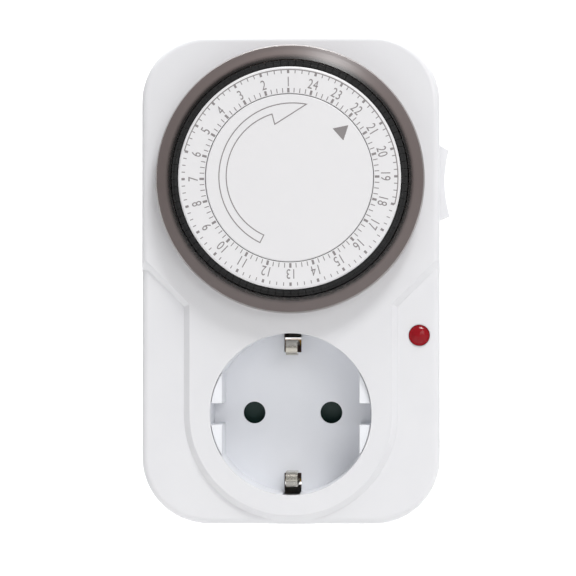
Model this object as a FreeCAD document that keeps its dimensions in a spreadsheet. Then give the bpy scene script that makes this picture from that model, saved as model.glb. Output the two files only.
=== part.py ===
import FreeCAD, Part
import math
import os
import re

import Sketcher

# Plug-in timer switch with a socket on its front and a plug on its back. Millimetres, +X right seen from
# the front, +Y towards the wall, +Z up. The origin lies between the two plug pins, on the end face of
# the plug boss, and the socket and the plug share the axis x = 0, z = 0.

doc = FreeCAD.newDocument("plug_in_timer_switch")
sizes = doc.addObject("Spreadsheet::Sheet", "Sizes")

SIZES = [
    # case
    ("case_width", 72.0),
    ("case_height", 118.0),
    ("case_depth", 34.0),
    ("corner_radius", 16.0),
    ("edge_round", 1.6),
    ("wall", 2.0),
    ("socket_to_bottom", 26.5),
    ("dial_to_socket", 56.5),
    ("rear_shell_depth", 12.0),
    ("shoulder_step", 1.3),
    ("apron_half_width", 25.8),
    ("apron_bevel", 1.4),
    ("apron_neck", 25.9),
    ("lip_height", 1.5),
    ("lip_thickness", 0.9),
    ("fit_gap", 0.05),
    # case screws and their bosses
    ("screw_radius", 1.45),
    ("screw_length", 15.0),
    ("screw_head_radius", 2.7),
    ("screw_head_height", 2.0),
    ("screw_sink", 6.0),
    ("boss_post_radius", 3.4),
    ("corner_screw_reach", 12.2),
    # socket
    ("recess_radius", 19.5),
    ("recess_depth", 17.5),
    ("recess_wall", 1.7),
    ("floor_thickness", 1.8),
    ("contact_spacing", 19.0),
    ("contact_hole_radius", 2.7),
    ("guide_half_width", 16.6),
    ("guide_notch", 5.2),
    ("guide_set_back", 1.0),
    ("earth_slot_width", 4.2),
    ("earth_slot_reach", 14.9),
    ("shutter_space", 3.5),
    ("shutter_thickness", 2.7),
    ("shutter_length", 26.0),
    ("shutter_height", 6.8),
    ("shutter_travel", 6.2),
    ("spring_half_width", 5.4),
    ("carrier_thickness", 1.0),
    ("shroud_depth", 4.2),
    # plug
    ("plug_boss_depth", 17.5),
    ("plug_boss_radius", 18.5),
    ("plug_flat_half_width", 16.2),
    ("plug_rib_width", 4.6),
    ("pin_radius", 2.4),
    ("pin_length", 19.0),
    ("pin_tip", 1.2),
    ("pin_collar_radius", 2.7),
    ("pin_flange_radius", 3.4),
    ("pin_tail_radius", 1.5),
    ("pin_tail_reach", 8.5),
    ("earth_strip_width", 5.0),
    ("strip_thickness", 0.5),
    ("earth_clip_width", 2.84),
    ("earth_clip_outer", 17.9),
    ("earth_clip_inner", 14.2),
    ("earth_clip_front", 7.0),
    # lamp
    ("lamp_to_side", 5.0),
    ("lamp_x", "=case_width / 2 - lamp_to_side"),
    ("lamp_z", 19.0),
    ("lamp_radius", 2.45),
    # dial
    ("opening_radius", 31.9),
    ("well_depth", 9.0),
    ("well_floor", 1.5),
    ("well_wall", 1.3),
    ("bezel_radius", 32.3),
    ("bezel_inner_radius", 28.46),
    ("bezel_height", 5.2),
    ("bezel_lip_height", 6.4),
    ("bezel_wall", 1.4),
    ("dial_radius", 26.6),
    ("dial_height", 8.0),
    ("hour_plate_thickness", 1.2),
    ("centre_disc_radius", 20.0),
    ("disc_gap", 0.15),
    ("post_radius", 4.0),
    ("hub_radius", 7.0),
    ("drum_wall", 1.3),
    ("dial_turn", 0.65),
    # tappets
    ("tappet_step_radius", 27.5),
    ("tappet_head_radius", 28.2),
    ("tappet_head_top", 7.6),
    ("tappet_head_step", 0.6),
    ("tappet_head_height", 2.3),
    ("tappet_gap", 0.1),
    ("tappet_stem_width", 1.1),
    ("tappet_foot_radius", 29.8),
    ("tappet_foot_depth", 3.0),
    ("tappet_foot_height", 2.0),
    ("tappet_travel", 2.4),
    ("fin_radius", 28.05),
    ("band_thickness", 0.3),
    # trip lever and switch
    ("lever_to_side", 13.0),
    ("lever_pivot_x", "=lever_to_side - case_width / 2"),
    ("lever_pivot_z", 29.0),
    ("lever_pin_radius", 1.2),
    ("lever_eye_radius", 2.3),
    ("lever_arm_radius", 31.35),
    ("lever_arm_width", 1.35),
    ("lever_height", 4.8),
    ("lever_travel", 1.9),
    ("lever_pad_width", 3.85),
    ("lever_tab_x", 21.2),
    ("lever_tab_z", 25.2),
    ("lever_leg_gap", 1.7),
    ("blade_root_x", 9.5),
    ("blade_z", 27.3),
    ("blade_tip_x", 25.2),
    ("blade_thickness", 0.3),
    ("contact_x", 24.0),
    ("contact_radius", 1.1),
    ("contact_height", 1.05),
    # rocker
    ("rocker_to_side", 4.0),
    ("rocker_pivot_x", "=case_width / 2 - rocker_to_side"),
    ("rocker_thickness", 7.2),
    ("rocker_play", 0.3),
    ("rocker_pin_radius", 1.2),
    ("rocker_finger", 11.0),
    # gear train
    ("train_module", 0.35),
    ("ring_module", 0.5),
    ("wheel_thickness", 1.0),
    ("layer_pitch", 1.45),
    ("arbor_radius", 0.5),
    ("running_gap", 0.05),
    ("train_depth", 9.5),
    ("gear_plate_thickness", 1.0),
    # motor
    ("stator_radius", 17.0),
    ("stator_depth", 10.5),
    ("stator_wall", 0.8),
    ("rotor_radius", 9.0),
    ("pole_gap", 0.4),
    ("coil_radius", 15.4),
    # leads
    ("lead_radius", 0.6),
]
ALIASES = {name for name, _ in SIZES}
for row, (name, value) in enumerate(SIZES, 1):
    sizes.set(f"A{row}", name)
    sizes.set(f"B{row}", str(value))
    sizes.setAlias(f"B{row}", name)
doc.recompute()


def size(name):
    """The value that the sheet holds for one alias."""
    return float(getattr(sizes, name))


WORD = r"[a-z][a-z0-9_]*"


def bound(text):
    """An expression in which each alias is read from the sheet."""
    return re.sub(WORD, lambda word: "Sizes." + word[0] if word[0] in ALIASES else word[0], text)


def bind(thing, **expressions):
    for prop, text in expressions.items():
        thing.setExpression(prop.replace("__", "."), bound(str(text)))


def place(thing, x="0", y="0", z="0"):
    bind(thing, Placement__Base__x=x, Placement__Base__y=y, Placement__Base__z=z)
    return thing


# Places along Y as expressions. Heights in front of the face and depths behind it are counted from FRONT.
FRONT = "(-(plug_boss_depth + case_depth))"
REAR = "(-plug_boss_depth)"
SPLIT = "(-(plug_boss_depth + rear_shell_depth))"
REAR_INSIDE = "(-(plug_boss_depth + wall))"
FLOOR_FRONT = f"({FRONT} + recess_depth)"
FLOOR_BACK = f"({FLOOR_FRONT} + floor_thickness)"
CARRIER_FRONT = f"({FLOOR_BACK} + shutter_space)"
CARRIER_BACK = f"({CARRIER_FRONT} + carrier_thickness)"
WELL_TOP = f"({FRONT} + well_depth)"
WELL_BACK = f"({WELL_TOP} + well_floor)"
PLATE_FRONT = f"({WELL_BACK} + train_depth)"
PLATE_BACK = f"({PLATE_FRONT} + gear_plate_thickness)"
STATOR_BACK = f"({PLATE_BACK} + stator_depth)"
DIAL = "dial_to_socket"
LEVER_PIVOT = ("lever_pivot_x", f"{DIAL} + lever_pivot_z")
BODY_MIDDLE = "(case_height / 2 - socket_to_bottom)"


def height(text):
    """A place so far in front of the front face."""
    return f"({FRONT} - ({text}))"


def number(text):
    """The present value of an expression in the sheet's aliases."""
    filled = re.sub(WORD, lambda word: f"({size(word[0])})" if word[0] in ALIASES else word[0], str(text))
    return float(sizes.evalExpression(filled))


def box(name, x0, x1, y0, y1, z0, z1):
    solid = doc.addObject("Part::Box", name)
    bind(solid, Length=f"({x1}) - ({x0})", Width=f"({y1}) - ({y0})", Height=f"({z1}) - ({z0})")
    return place(solid, x0, y0, z0)


def rod(name, radius, y0, y1, x="0", z="0", start=None, sweep=None):
    """A cylinder along Y. With start and sweep, a sector, clockwise from the top seen from the front."""
    solid = doc.addObject("Part::Cylinder", name)
    bind(solid, Radius=radius, Height=f"({y1}) - ({y0})")
    turn = FreeCAD.Rotation(FreeCAD.Vector(1, 0, 0), -90)
    if sweep is not None:
        solid.Angle = sweep
        turn = FreeCAD.Rotation(FreeCAD.Vector(0, 1, 0), start - 90) * turn
    solid.Placement = FreeCAD.Placement(FreeCAD.Vector(), turn)
    return place(solid, x, y0, z)


def fuse(name, *shapes):
    joined = doc.addObject("Part::MultiFuse", name)
    joined.Shapes = list(shapes)
    return joined


def cut(name, base, *tools):
    trimmed = doc.addObject("Part::Cut", name)
    trimmed.Base = base
    trimmed.Tool = tools[0] if len(tools) == 1 else fuse(name + "_tools", *tools)
    return trimmed


def common(name, first, second):
    shared = doc.addObject("Part::Common", name)
    shared.Base = first
    shared.Tool = second
    return shared


def tube(name, outer, inner, y0, y1, x="0", z="0", start=None, sweep=None):
    shell = rod(name + "_outer", outer, y0, y1, x, z, start, sweep)
    bore = rod(name + "_inner", inner, f"({y0}) - 1", f"({y1}) + 1", x, z)
    return cut(name, shell, bore)


def turned(name, points, x="0", z="0"):
    """A body turned about its own Y axis from an outline of (radius, y) pairs of expressions."""
    body = doc.addObject("PartDesign::Body", name)
    sketch = outline_sketch(body, name + "_outline", points)
    spin = body.newObject("PartDesign::Revolution", name + "_turn")
    spin.Profile = sketch
    spin.ReferenceAxis = (sketch, ["V_Axis"])
    spin.Angle = 360
    sketch.Visibility = False
    place(body, x, "0", z)
    return body


def outline_sketch(body, name, points):
    """A closed outline of straight lines whose corners are bound to the sheet."""
    sketch = body.newObject("Sketcher::SketchObject", name)
    plane = next(item for item in body.Origin.OriginFeatures if item.Role == "XY_Plane")
    sketch.AttachmentSupport = [(plane, "")]
    sketch.MapMode = "FlatFace"
    corners = [FreeCAD.Vector(number(u), number(v), 0) for u, v in points]
    count = len(corners)
    for i, corner in enumerate(corners):
        sketch.addGeometry(Part.LineSegment(corner, corners[(i + 1) % count]), False)
    for i in range(count):
        sketch.addConstraint(Sketcher.Constraint("Coincident", i, 2, (i + 1) % count, 1))
    for i, (u, v) in enumerate(points):
        for kind, text, value in (("DistanceX", u, corners[i].x), ("DistanceY", v, corners[i].y)):
            index = sketch.addConstraint(Sketcher.Constraint(kind, -1, 1, i, 1, value))
            sketch.setExpression(f"Constraints[{index}]", bound(str(text)))
    return sketch


def made(name, shape):
    """A piece whose shape comes from a formula."""
    feature = doc.addObject("Part::Feature", name)
    feature.Shape = shape
    return feature


NODES = []


def node(name, thing):
    """Names a finished sub-part."""
    thing.Label = name
    NODES.append(thing)
    return thing


def rounded(name, base, radius, wanted):
    """Rounds those edges of a solid that the test picks."""
    doc.recompute()
    piece = doc.addObject("Part::Fillet", name)
    piece.Base = base
    piece.Edges = [(i, radius, radius) for i, edge in enumerate(base.Shape.Edges, 1) if wanted(edge)]
    return piece


def runs_along_y(edge):
    box = edge.BoundBox
    return box.XLength < 1e-6 and box.ZLength < 1e-6


def lies_at(y):
    return lambda edge: abs(edge.BoundBox.YMin - y) < 1e-6 and abs(edge.BoundBox.YMax - y) < 1e-6


def case_block(name, y0, y1, inset="0", rounded_at=None):
    """The case's round-cornered outline as a block, smaller all round by inset."""
    block = box(
        name + "_block",
        f"-case_width / 2 + ({inset})", f"case_width / 2 - ({inset})", y0, y1,
        f"-socket_to_bottom + ({inset})", f"case_height - socket_to_bottom - ({inset})",
    )
    radius = number(f"corner_radius - ({inset})")
    corners = rounded(name, block, radius, runs_along_y)
    if rounded_at is None:
        return corners
    return rounded(name + "_edge", corners, size("edge_round"), lies_at(number(rounded_at)))


def raised_face(name, inset, depth):
    """The raised part of the face: the dial's end of the case and the apron round the socket, bevelled."""
    bevel = size("apron_bevel")
    step = size("shoulder_step")
    front = number(FRONT) + depth
    reach = size("case_width") / 2 + 4
    top = size("case_height") - size("socket_to_bottom") + 4

    def outline(y, shrink):
        half = size("apron_half_width") - shrink
        rise = size("apron_neck") - size("apron_half_width") + shrink * math.sqrt(2)
        spots = [(-half, 0), (-half, half + rise), (-reach, reach + rise), (-reach, top)]
        spots += [(-x, z) for x, z in reversed(spots)]
        points = [FreeCAD.Vector(x, y, z) for x, z in spots]
        edges = [Part.LineSegment(a, b).toShape() for a, b in zip(points, points[1:])]
        arc = Part.Arc(points[-1], FreeCAD.Vector(0, y, -half), points[0])
        return Part.Wire(edges + [arc.toShape()])

    wires = [outline(front, inset + bevel), outline(front + 2 * step, inset - bevel)]
    return made(name, Part.makeLoft(wires, True, True))


SCREW_SHIFT = "(corner_screw_reach * 0.7071)"
SCREW_SIDE = f"(case_width / 2 - corner_radius + {SCREW_SHIFT})"
SCREW_TOP = f"(case_height - socket_to_bottom - corner_radius + {SCREW_SHIFT})"
SCREW_BOTTOM = f"(corner_radius - socket_to_bottom - {SCREW_SHIFT})"
SCREW_SPOTS = [(f"{side}{SCREW_SIDE}", z) for side in ("", "-") for z in (SCREW_TOP, SCREW_BOTTOM)]

# Where the gear train's two arbors and the motor stand, from the dial's axis
RING_TEETH = 90
DRIVE_TEETH = 10
STAGES = [(8, 64), (8, 64), (12, 60), (12, 60), (12, 60), (12, 60)]
drive_distance = size("ring_module") * (RING_TEETH - DRIVE_TEETH) / 2
train_distance = size("train_module") * sum(STAGES[0]) / 2


def polar(start, distance, clock_degrees):
    """A point so far from start, in a direction clockwise from the top."""
    angle = math.radians(clock_degrees)
    return start[0] + distance * math.sin(angle), start[1] + distance * math.cos(angle)


DIAL_AXIS = (0.0, size("dial_to_socket"))
ARBOR_B = polar(DIAL_AXIS, drive_distance, 225)
ARBOR_A = polar(ARBOR_B, train_distance, 15)
MOTOR_AXIS = polar(ARBOR_A, train_distance, 60)
PILLARS = [polar(DIAL_AXIS, 26.3, 291), polar(DIAL_AXIS, 20.3, 170), polar(DIAL_AXIS, 23.5, 40)]
pillar_radius = 2.2
JOURNAL = f"(ring_module * ({DRIVE_TEETH} / 2 + 1))"
CARRIER_POSTS = [(f"{x} * (recess_radius + 0.5)", f"{z} * (recess_radius + 0.5)")
                 for x in (0.8, -0.8) for z in (0.6, -0.6)]
CARRIER_SCREWS = [(f"{side}recess_radius * 0.62", f"{side}recess_radius * 0.72") for side in ("", "-")]
SPRING_TOP = "(shutter_height / 2 + shutter_travel + 1.8)"
BOARD_FEET = [("11", f"{DIAL} + 29"), ("21", f"{DIAL} + 22")]

# Front housing: raised face, two lower shoulders, a well for the dial and windows for lamp and rocker
LEVER_FRONT = f"({FRONT} + wall + 0.6)"
LEVER_BACK = f"({LEVER_FRONT} + lever_height)"
ROCKER_FRONT = f"({WELL_BACK} + rocker_play)"
ROCKER_BACK = f"({ROCKER_FRONT} + rocker_thickness)"
ROCKER_Z = DIAL


def front_housing():
    low = case_block("shoulder_skin", f"{FRONT} + shoulder_step", SPLIT, "0", f"{FRONT} + shoulder_step")
    high = case_block("raised_skin", FRONT, SPLIT, "0", FRONT)
    skin = fuse("front_skin", low, common("raised_part", high, raised_face("raised_outline", 0, 0)))
    low_hollow = case_block("shoulder_hollow", f"{FRONT} + shoulder_step + wall", f"{SPLIT} + 1", "wall")
    high_hollow = case_block("raised_hollow", f"{FRONT} + wall", SPLIT, "wall")
    inner = raised_face("raised_inner_outline", size("wall"), size("wall"))
    shell = cut("front_shell", skin, low_hollow, common("raised_hollow_part", high_hollow, inner))

    in_wall = f"{FRONT} + wall / 2"
    added = [rod("well_body", "opening_radius + well_wall", in_wall, WELL_BACK, "0", DIAL)]
    added.append(rod("lever_post", "lever_pin_radius", in_wall, f"{LEVER_BACK} + 0.6", *LEVER_PIVOT))
    for i, (x, z) in enumerate(SCREW_SPOTS):
        boss_front = f"{FRONT} + shoulder_step + wall / 2"
        added.append(rod(f"front_boss_{i}", "boss_post_radius", boss_front, SPLIT, x, z))
    for i, (x, z) in enumerate(PILLARS):
        added.append(rod(f"pillar_{i}", pillar_radius, f"{WELL_BACK} - well_floor / 2", PLATE_FRONT, x, z))
    lug = ("rocker_pivot_x - 1.6", "case_width / 2 - wall / 2")
    lug_height = (f"{ROCKER_Z} - 2.6", f"{ROCKER_Z} + 2.6")
    added.append(box("front_lug", *lug, f"{ROCKER_FRONT} - 2", WELL_BACK, *lug_height))
    added.append(box("back_lug", *lug, f"{ROCKER_BACK} + rocker_play", f"{ROCKER_BACK} + 1.9", *lug_height))
    body = fuse("front_body", shell, *added)

    past_front = f"{FRONT} - 1"
    past_shoulder = f"{FRONT} + shoulder_step + wall + 1"
    holes = [
        rod("dial_opening", "opening_radius", past_front, WELL_TOP, "0", DIAL),
        rod("socket_opening", "recess_radius", past_front, f"{FRONT} + wall + shoulder_step", "0", "0"),
        rod("lamp_hole", "lamp_radius + 0.1", past_front, past_shoulder, "lamp_x", "lamp_z"),
        rod("post_hole", "post_radius - 1 + fit_gap", WELL_TOP, f"{WELL_BACK} + 1", "0", DIAL),
        rod("drive_hole", f"{JOURNAL} + running_gap", WELL_TOP, f"{WELL_BACK} + 1", *ARBOR_B),
        rod("arbor_hole", "arbor_radius + fit_gap", f"{WELL_BACK} - 0.9", f"{WELL_BACK} + 1", *ARBOR_A),
        box("rocker_slot", "case_width / 2 - wall - 0.5", "case_width / 2 + 1",
            f"{ROCKER_FRONT} - 0.25", f"{ROCKER_BACK} + 0.25", f"{ROCKER_Z} - 10.5", f"{ROCKER_Z} + 9.7"),
        rod("rocker_bearing", "rocker_pin_radius + running_gap", f"{ROCKER_FRONT} - 1.7",
            f"{ROCKER_BACK} + 2", "rocker_pivot_x", ROCKER_Z),
        tube("lever_window", "opening_radius + well_wall + 0.1", "opening_radius - 0.4",
             f"{FRONT} + wall", f"{LEVER_BACK} + 0.4", "0", DIAL, -34, 88),
        box("lever_notch", "lever_tab_x - 1.6", "lever_tab_x + 3.2", f"{FRONT} + wall", f"{WELL_BACK} + 1",
            f"{DIAL} + lever_tab_z - lever_travel - 0.3", f"{DIAL} + lever_tab_z + 3"),
    ]
    for i, (x, z) in enumerate(SCREW_SPOTS):
        holes.append(rod(f"front_pilot_{i}", "screw_radius + fit_gap", f"{SPLIT} - 12", f"{SPLIT} + 1", x, z))
    for i, (x, z) in enumerate(PILLARS):
        holes.append(rod(f"pillar_pilot_{i}", 0.85, f"{PLATE_FRONT} - 5", f"{PLATE_FRONT} + 1", x, z))
    return node("front_housing", cut("front_housing", body, *holes))


def rear_housing():
    skin = case_block("rear_skin", SPLIT, REAR, "0", REAR)
    shell = cut("rear_shell", skin, case_block("rear_hollow", f"{SPLIT} - 1", REAR_INSIDE, "wall"))
    lip_outer = case_block("lip_outer", f"{SPLIT} - lip_height", REAR_INSIDE, "wall + fit_gap")
    lip_inner = case_block("lip_inner", f"{SPLIT} - lip_height - 1", f"{REAR_INSIDE} + 1",
                           "wall + fit_gap + lip_thickness")
    room = [rod(f"lip_room_{i}", "boss_post_radius + 0.1", f"{SPLIT} - lip_height - 1", SPLIT, x, z)
            for i, (x, z) in enumerate(SCREW_SPOTS)]
    lip = cut("lip", lip_outer, lip_inner, *room)
    full = rod("boss_full", "plug_boss_radius", f"{REAR} - wall / 2", "0")
    flats = box("boss_flats", "-plug_flat_half_width", "plug_flat_half_width", f"{REAR} - wall", "1",
                "-30", "30")
    rib = box("boss_rib", "-plug_boss_radius", "plug_boss_radius", f"{REAR} - wall", "1",
              "-plug_rib_width / 2", "plug_rib_width / 2")
    boss = common("boss", full, fuse("boss_plan", flats, rib))
    added = [lip, boss]
    for i, (x, z) in enumerate(SCREW_SPOTS):
        added.append(rod(f"rear_boss_{i}", "boss_post_radius", SPLIT, f"{REAR} - wall / 2", x, z))
    for i, (x, z) in enumerate(CARRIER_POSTS):
        added.append(rod(f"carrier_post_{i}", 1.9, CARRIER_BACK, f"{REAR} - wall / 2", x, z))
    added.append(tube("motor_seat", "stator_radius - 1", "stator_radius - 2.5", STATOR_BACK,
                      f"{REAR} - wall / 2", *MOTOR_AXIS))
    for i, (x, z) in enumerate(BOARD_FEET):
        added.append(rod(f"board_foot_{i}", 1.5, BOARD_BACK, f"{REAR} - wall / 2", x, z))
    body = fuse("rear_body", shell, *added)

    inside = common(
        "boss_hollow",
        rod("boss_bore", "plug_boss_radius - wall", f"{REAR} - wall - 1", "-wall"),
        box("boss_bore_flats", "-plug_flat_half_width + wall", "plug_flat_half_width - wall",
            f"{REAR} - wall - 2", "1", "-30", "30"),
    )
    holes = [inside]
    for side in ("", "-"):
        holes.append(rod("pin_hole", "pin_collar_radius + fit_gap", "-wall - 1", "1",
                         f"{side}contact_spacing / 2"))
    holes.append(box("earth_window", "-earth_strip_width / 2 - 0.15", "earth_strip_width / 2 + 0.15",
                     f"{REAR} - wall - 1", "-wall", "-plug_boss_radius - 0.05", "plug_boss_radius + 0.05"))
    for i, (x, z) in enumerate(SCREW_SPOTS):
        holes.append(rod(f"screw_hole_{i}", "screw_radius + 0.15", f"{SPLIT} - 1", "1", x, z))
        holes.append(rod(f"screw_sink_{i}", "screw_head_radius + 0.25", f"{REAR} - screw_sink", "1", x, z))
    return node("rear_housing", cut("rear_housing", body, *holes))


def housing_screws():
    screws = []
    for i, (x, z) in enumerate(SCREW_SPOTS):
        under_head = f"{REAR} - screw_sink"
        head = rod(f"screw_head_{i}", "screw_head_radius", under_head, f"{under_head} + screw_head_height",
                   x, z)
        shank = rod(f"screw_shank_{i}", "screw_radius", f"{under_head} - screw_length", under_head, x, z)
        slots = [
            box(f"cross_a_{i}", f"{x} - 1.5", f"{x} + 1.5", f"{under_head} + 0.8", f"{under_head} + 3",
                f"{z} - 0.3", f"{z} + 0.3"),
            box(f"cross_b_{i}", f"{x} - 0.3", f"{x} + 0.3", f"{under_head} + 0.8", f"{under_head} + 3",
                f"{z} - 1.5", f"{z} + 1.5"),
        ]
        screws.append(cut(f"screw_{i}", fuse(f"screw_blank_{i}", head, shank), *slots))
    group = doc.addObject("Part::Compound", "housing_screws")
    group.Links = screws
    return node("housing_screws", group)


def socket_cup():
    wall_front = f"{FRONT} + wall"
    ring = tube("cup_ring", "recess_radius + recess_wall", "recess_radius", wall_front, CARRIER_FRONT)
    floor = rod("cup_floor", "recess_radius + recess_wall / 2", FLOOR_FRONT, FLOOR_BACK)
    disc = rod("guide_disc", "recess_radius - disc_gap", f"{FRONT} + guide_set_back", f"{FLOOR_FRONT} + 0.1")
    middle = box("guide_middle", "-guide_half_width", "guide_half_width", FRONT, FLOOR_FRONT, "-40", "40")
    notch = box("guide_notch_gap", "-40", "40", FRONT, FLOOR_FRONT, "-guide_notch / 2", "guide_notch / 2")
    outer = tube("guide_outer", "recess_radius + recess_wall / 2", "recess_radius - disc_gap - 0.5",
                 wall_front, FLOOR_BACK)
    sides = box("guide_sides", "-guide_half_width", "guide_half_width", FRONT, FLOOR_BACK, "-40", "40")
    roots = cut("guide_roots", outer, sides, notch)
    guides = fuse("guides", cut("guide_blocks", disc, middle, notch), roots)
    posts = [box(f"spring_post_{i}", f"{side}spring_half_width - 0.8", f"{side}spring_half_width + 0.8",
                 f"{FLOOR_BACK} - 0.5", f"{CARRIER_FRONT} - 0.3",
                 f"{SPRING_TOP} + 0.2", f"{SPRING_TOP} + 1.4")
             for i, side in enumerate(("", "-"))]
    for i, (x, z) in enumerate(CARRIER_SCREWS):
        posts.append(rod(f"carrier_boss_{i}", 1.8, f"{FLOOR_BACK} - 0.5", CARRIER_FRONT, x, z))
    body = fuse("cup_body", ring, floor, guides, *posts)
    holes = []
    for side in ("", "-"):
        holes.append(rod("contact_hole", "contact_hole_radius", f"{FLOOR_FRONT} - 0.5", f"{FLOOR_BACK} + 1",
                         f"{side}contact_spacing / 2"))
    slot = box("earth_slot", "-earth_slot_width / 2", "earth_slot_width / 2", wall_front,
               f"{CARRIER_FRONT} + 1", "-recess_radius - 0.9", "recess_radius + 0.9")
    slot_keep = box("earth_slot_keep", "-5", "5", f"{FRONT}", f"{CARRIER_FRONT} + 2", "-earth_slot_reach",
                    "earth_slot_reach")
    holes.append(cut("earth_slots", slot, slot_keep))
    for i, (x, z) in enumerate(CARRIER_SCREWS):
        holes.append(rod(f"cup_pilot_{i}", 0.75, f"{CARRIER_FRONT} - 3", f"{CARRIER_FRONT} + 1", x, z))
    return node("socket_cup", cut("socket_cup", body, *holes))


def contact_carrier():
    disc = rod("carrier_disc", "recess_radius + recess_wall - 0.1", CARRIER_FRONT, CARRIER_BACK)
    shrouds, bores = [], []
    for i, side in enumerate(("", "-")):
        middle = f"{side}contact_spacing / 2"
        shrouds.append(box(f"shroud_{i}", f"{middle} - 4.1", f"{middle} + 4.1", f"{CARRIER_BACK} - 0.5",
                           f"{CARRIER_BACK} + shroud_depth", "-4.2", "4.2"))
        bores.append(box(f"shroud_bore_{i}", f"{middle} - 3.2", f"{middle} + 3.2", f"{CARRIER_BACK}",
                         f"{CARRIER_BACK} + shroud_depth + 1", "-3.4", "3.4"))
        bores.append(rod(f"carrier_hole_{i}", "contact_hole_radius + 0.2", f"{CARRIER_FRONT} - 1",
                         f"{CARRIER_BACK} + 1", middle))
    slot = box("carrier_slot", "-earth_slot_width / 2", "earth_slot_width / 2", f"{CARRIER_FRONT} - 1",
               f"{CARRIER_BACK} + 1", "-30", "30")
    keep = box("carrier_slot_keep", "-5", "5", f"{CARRIER_FRONT} - 2", f"{CARRIER_BACK} + 2",
               "-earth_clip_outer + 1.4", "earth_clip_outer - 1.4")
    bores.append(cut("carrier_slots", slot, keep))
    for i, (x, z) in enumerate(CARRIER_SCREWS):
        bores.append(rod(f"carrier_screw_hole_{i}", 0.95, f"{CARRIER_FRONT} - 1", f"{CARRIER_BACK} + 1",
                         x, z))
    return node("contact_carrier", cut("contact_carrier", fuse("carrier_body", disc, *shrouds), *bores))


def carrier_screws():
    screws = []
    for i, (x, z) in enumerate(CARRIER_SCREWS):
        head = rod(f"carrier_screw_head_{i}", 1.5, CARRIER_BACK, f"{CARRIER_BACK} + 1", x, z)
        shank = rod(f"carrier_screw_shank_{i}", 0.7, f"{CARRIER_FRONT} - 2.8", CARRIER_BACK, x, z)
        screws.append(fuse(f"carrier_screw_{i}", head, shank))
    group = doc.addObject("Part::Compound", "carrier_screws")
    group.Links = screws
    return node("carrier_screws", group)


def shutter():
    back = f"{CARRIER_FRONT} - 0.3"
    front = f"({back} - shutter_thickness)"
    slab = box("shutter_slab", "-shutter_length / 2", "shutter_length / 2", front, back,
               "-shutter_height / 2", "shutter_height / 2")
    ramps = []
    for i, side in enumerate(("", "-")):
        ramp = doc.addObject("Part::Wedge", f"ramp_{i}")
        across = "contact_hole_radius * 2 + 0.6"
        bind(ramp, Xmin="0", Xmax=across, X2min="0", X2max=across, Ymin="0", Ymax="shutter_thickness * 0.7",
             Zmin="0", Zmax="shutter_height + 1", Z2min="0", Z2max="0.5")
        place(ramp, f"{side}contact_spacing / 2 - contact_hole_radius - 0.3", f"{front} - 0.01",
              "-shutter_height / 2 - 0.5")
        ramps.append(ramp)
    return node("shutter", cut("shutter", slab, *ramps))


def shutter_spring():
    """A thin bent leaf between the shutter's top edge and the two posts on the cup."""
    thickness = 0.25
    half = size("spring_half_width")
    low = size("shutter_height") / 2 + 0.1
    high = number(SPRING_TOP)
    y = number(CARRIER_FRONT) - 0.8

    def at(x, z):
        return FreeCAD.Vector(x, y, z)

    inner = half - thickness
    corners = [at(-half, high), at(-half, low + half), at(half, low + half), at(half, high), at(inner, high),
               at(inner, low + half), at(-inner, low + half), at(-inner, high)]
    edges = [
        Part.LineSegment(corners[0], corners[1]).toShape(),
        Part.Arc(corners[1], at(0, low), corners[2]).toShape(),
        Part.LineSegment(corners[2], corners[3]).toShape(),
        Part.LineSegment(corners[3], corners[4]).toShape(),
        Part.LineSegment(corners[4], corners[5]).toShape(),
        Part.Arc(corners[5], at(0, low + thickness), corners[6]).toShape(),
        Part.LineSegment(corners[6], corners[7]).toShape(),
        Part.LineSegment(corners[7], corners[0]).toShape(),
    ]
    face = Part.Face(Part.Wire(edges))
    return node("shutter_spring", made("shutter_spring", face.extrude(FreeCAD.Vector(0, -1.6, 0))))


def earth_clips():
    """Hairpin clips at the top and bottom of the recess, joined by a strap behind the contact carrier."""
    t = "strip_thickness"
    width = ("-earth_clip_width / 2", "earth_clip_width / 2")
    tip = f"{FRONT} + earth_clip_front"
    strap_back = f"({CARRIER_BACK} + 3.2)"
    pieces = []
    for i, sign in enumerate((1, -1)):
        def leg(name, z0, z1, y0, y1):
            pair = (z0, z1) if sign == 1 else (f"-({z1})", f"-({z0})")
            return box(f"{name}_{i}", *width, y0, y1, *pair)

        bend = "((earth_clip_outer - earth_clip_inner) / 2)"
        middle = "(earth_clip_outer + earth_clip_inner) / 2"
        y_bend = f"({tip} + {bend})"
        pieces.append(leg("clip_outer", f"earth_clip_outer - {t}", "earth_clip_outer", y_bend, strap_back))
        pieces.append(leg("clip_inner", "earth_clip_inner", f"earth_clip_inner + {t}", y_bend,
                          f"{FLOOR_FRONT} - 1.5"))
        loop_outer = doc.addObject("Part::Cylinder", f"clip_bend_outer_{i}")
        loop_inner = doc.addObject("Part::Cylinder", f"clip_bend_inner_{i}")
        for loop, radius in ((loop_outer, bend), (loop_inner, f"{bend} - {t}")):
            bind(loop, Radius=radius, Height="earth_clip_width")
            across = FreeCAD.Rotation(FreeCAD.Vector(0, 1, 0), 90)
            loop.Placement = FreeCAD.Placement(FreeCAD.Vector(), across)
            place(loop, width[0], y_bend, middle if sign == 1 else f"-({middle})")
        half = box(f"clip_half_{i}", "-5", "5", y_bend, f"{y_bend} + 4", "-25", "25")
        pieces.append(cut(f"clip_bend_{i}", loop_outer, loop_inner, half))
    pieces.append(box("clip_strap", *width, f"{strap_back} - {t}", strap_back,
                      "-earth_clip_outer", "earth_clip_outer"))
    return node("earth_clips", fuse("earth_clips", *pieces))


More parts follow.
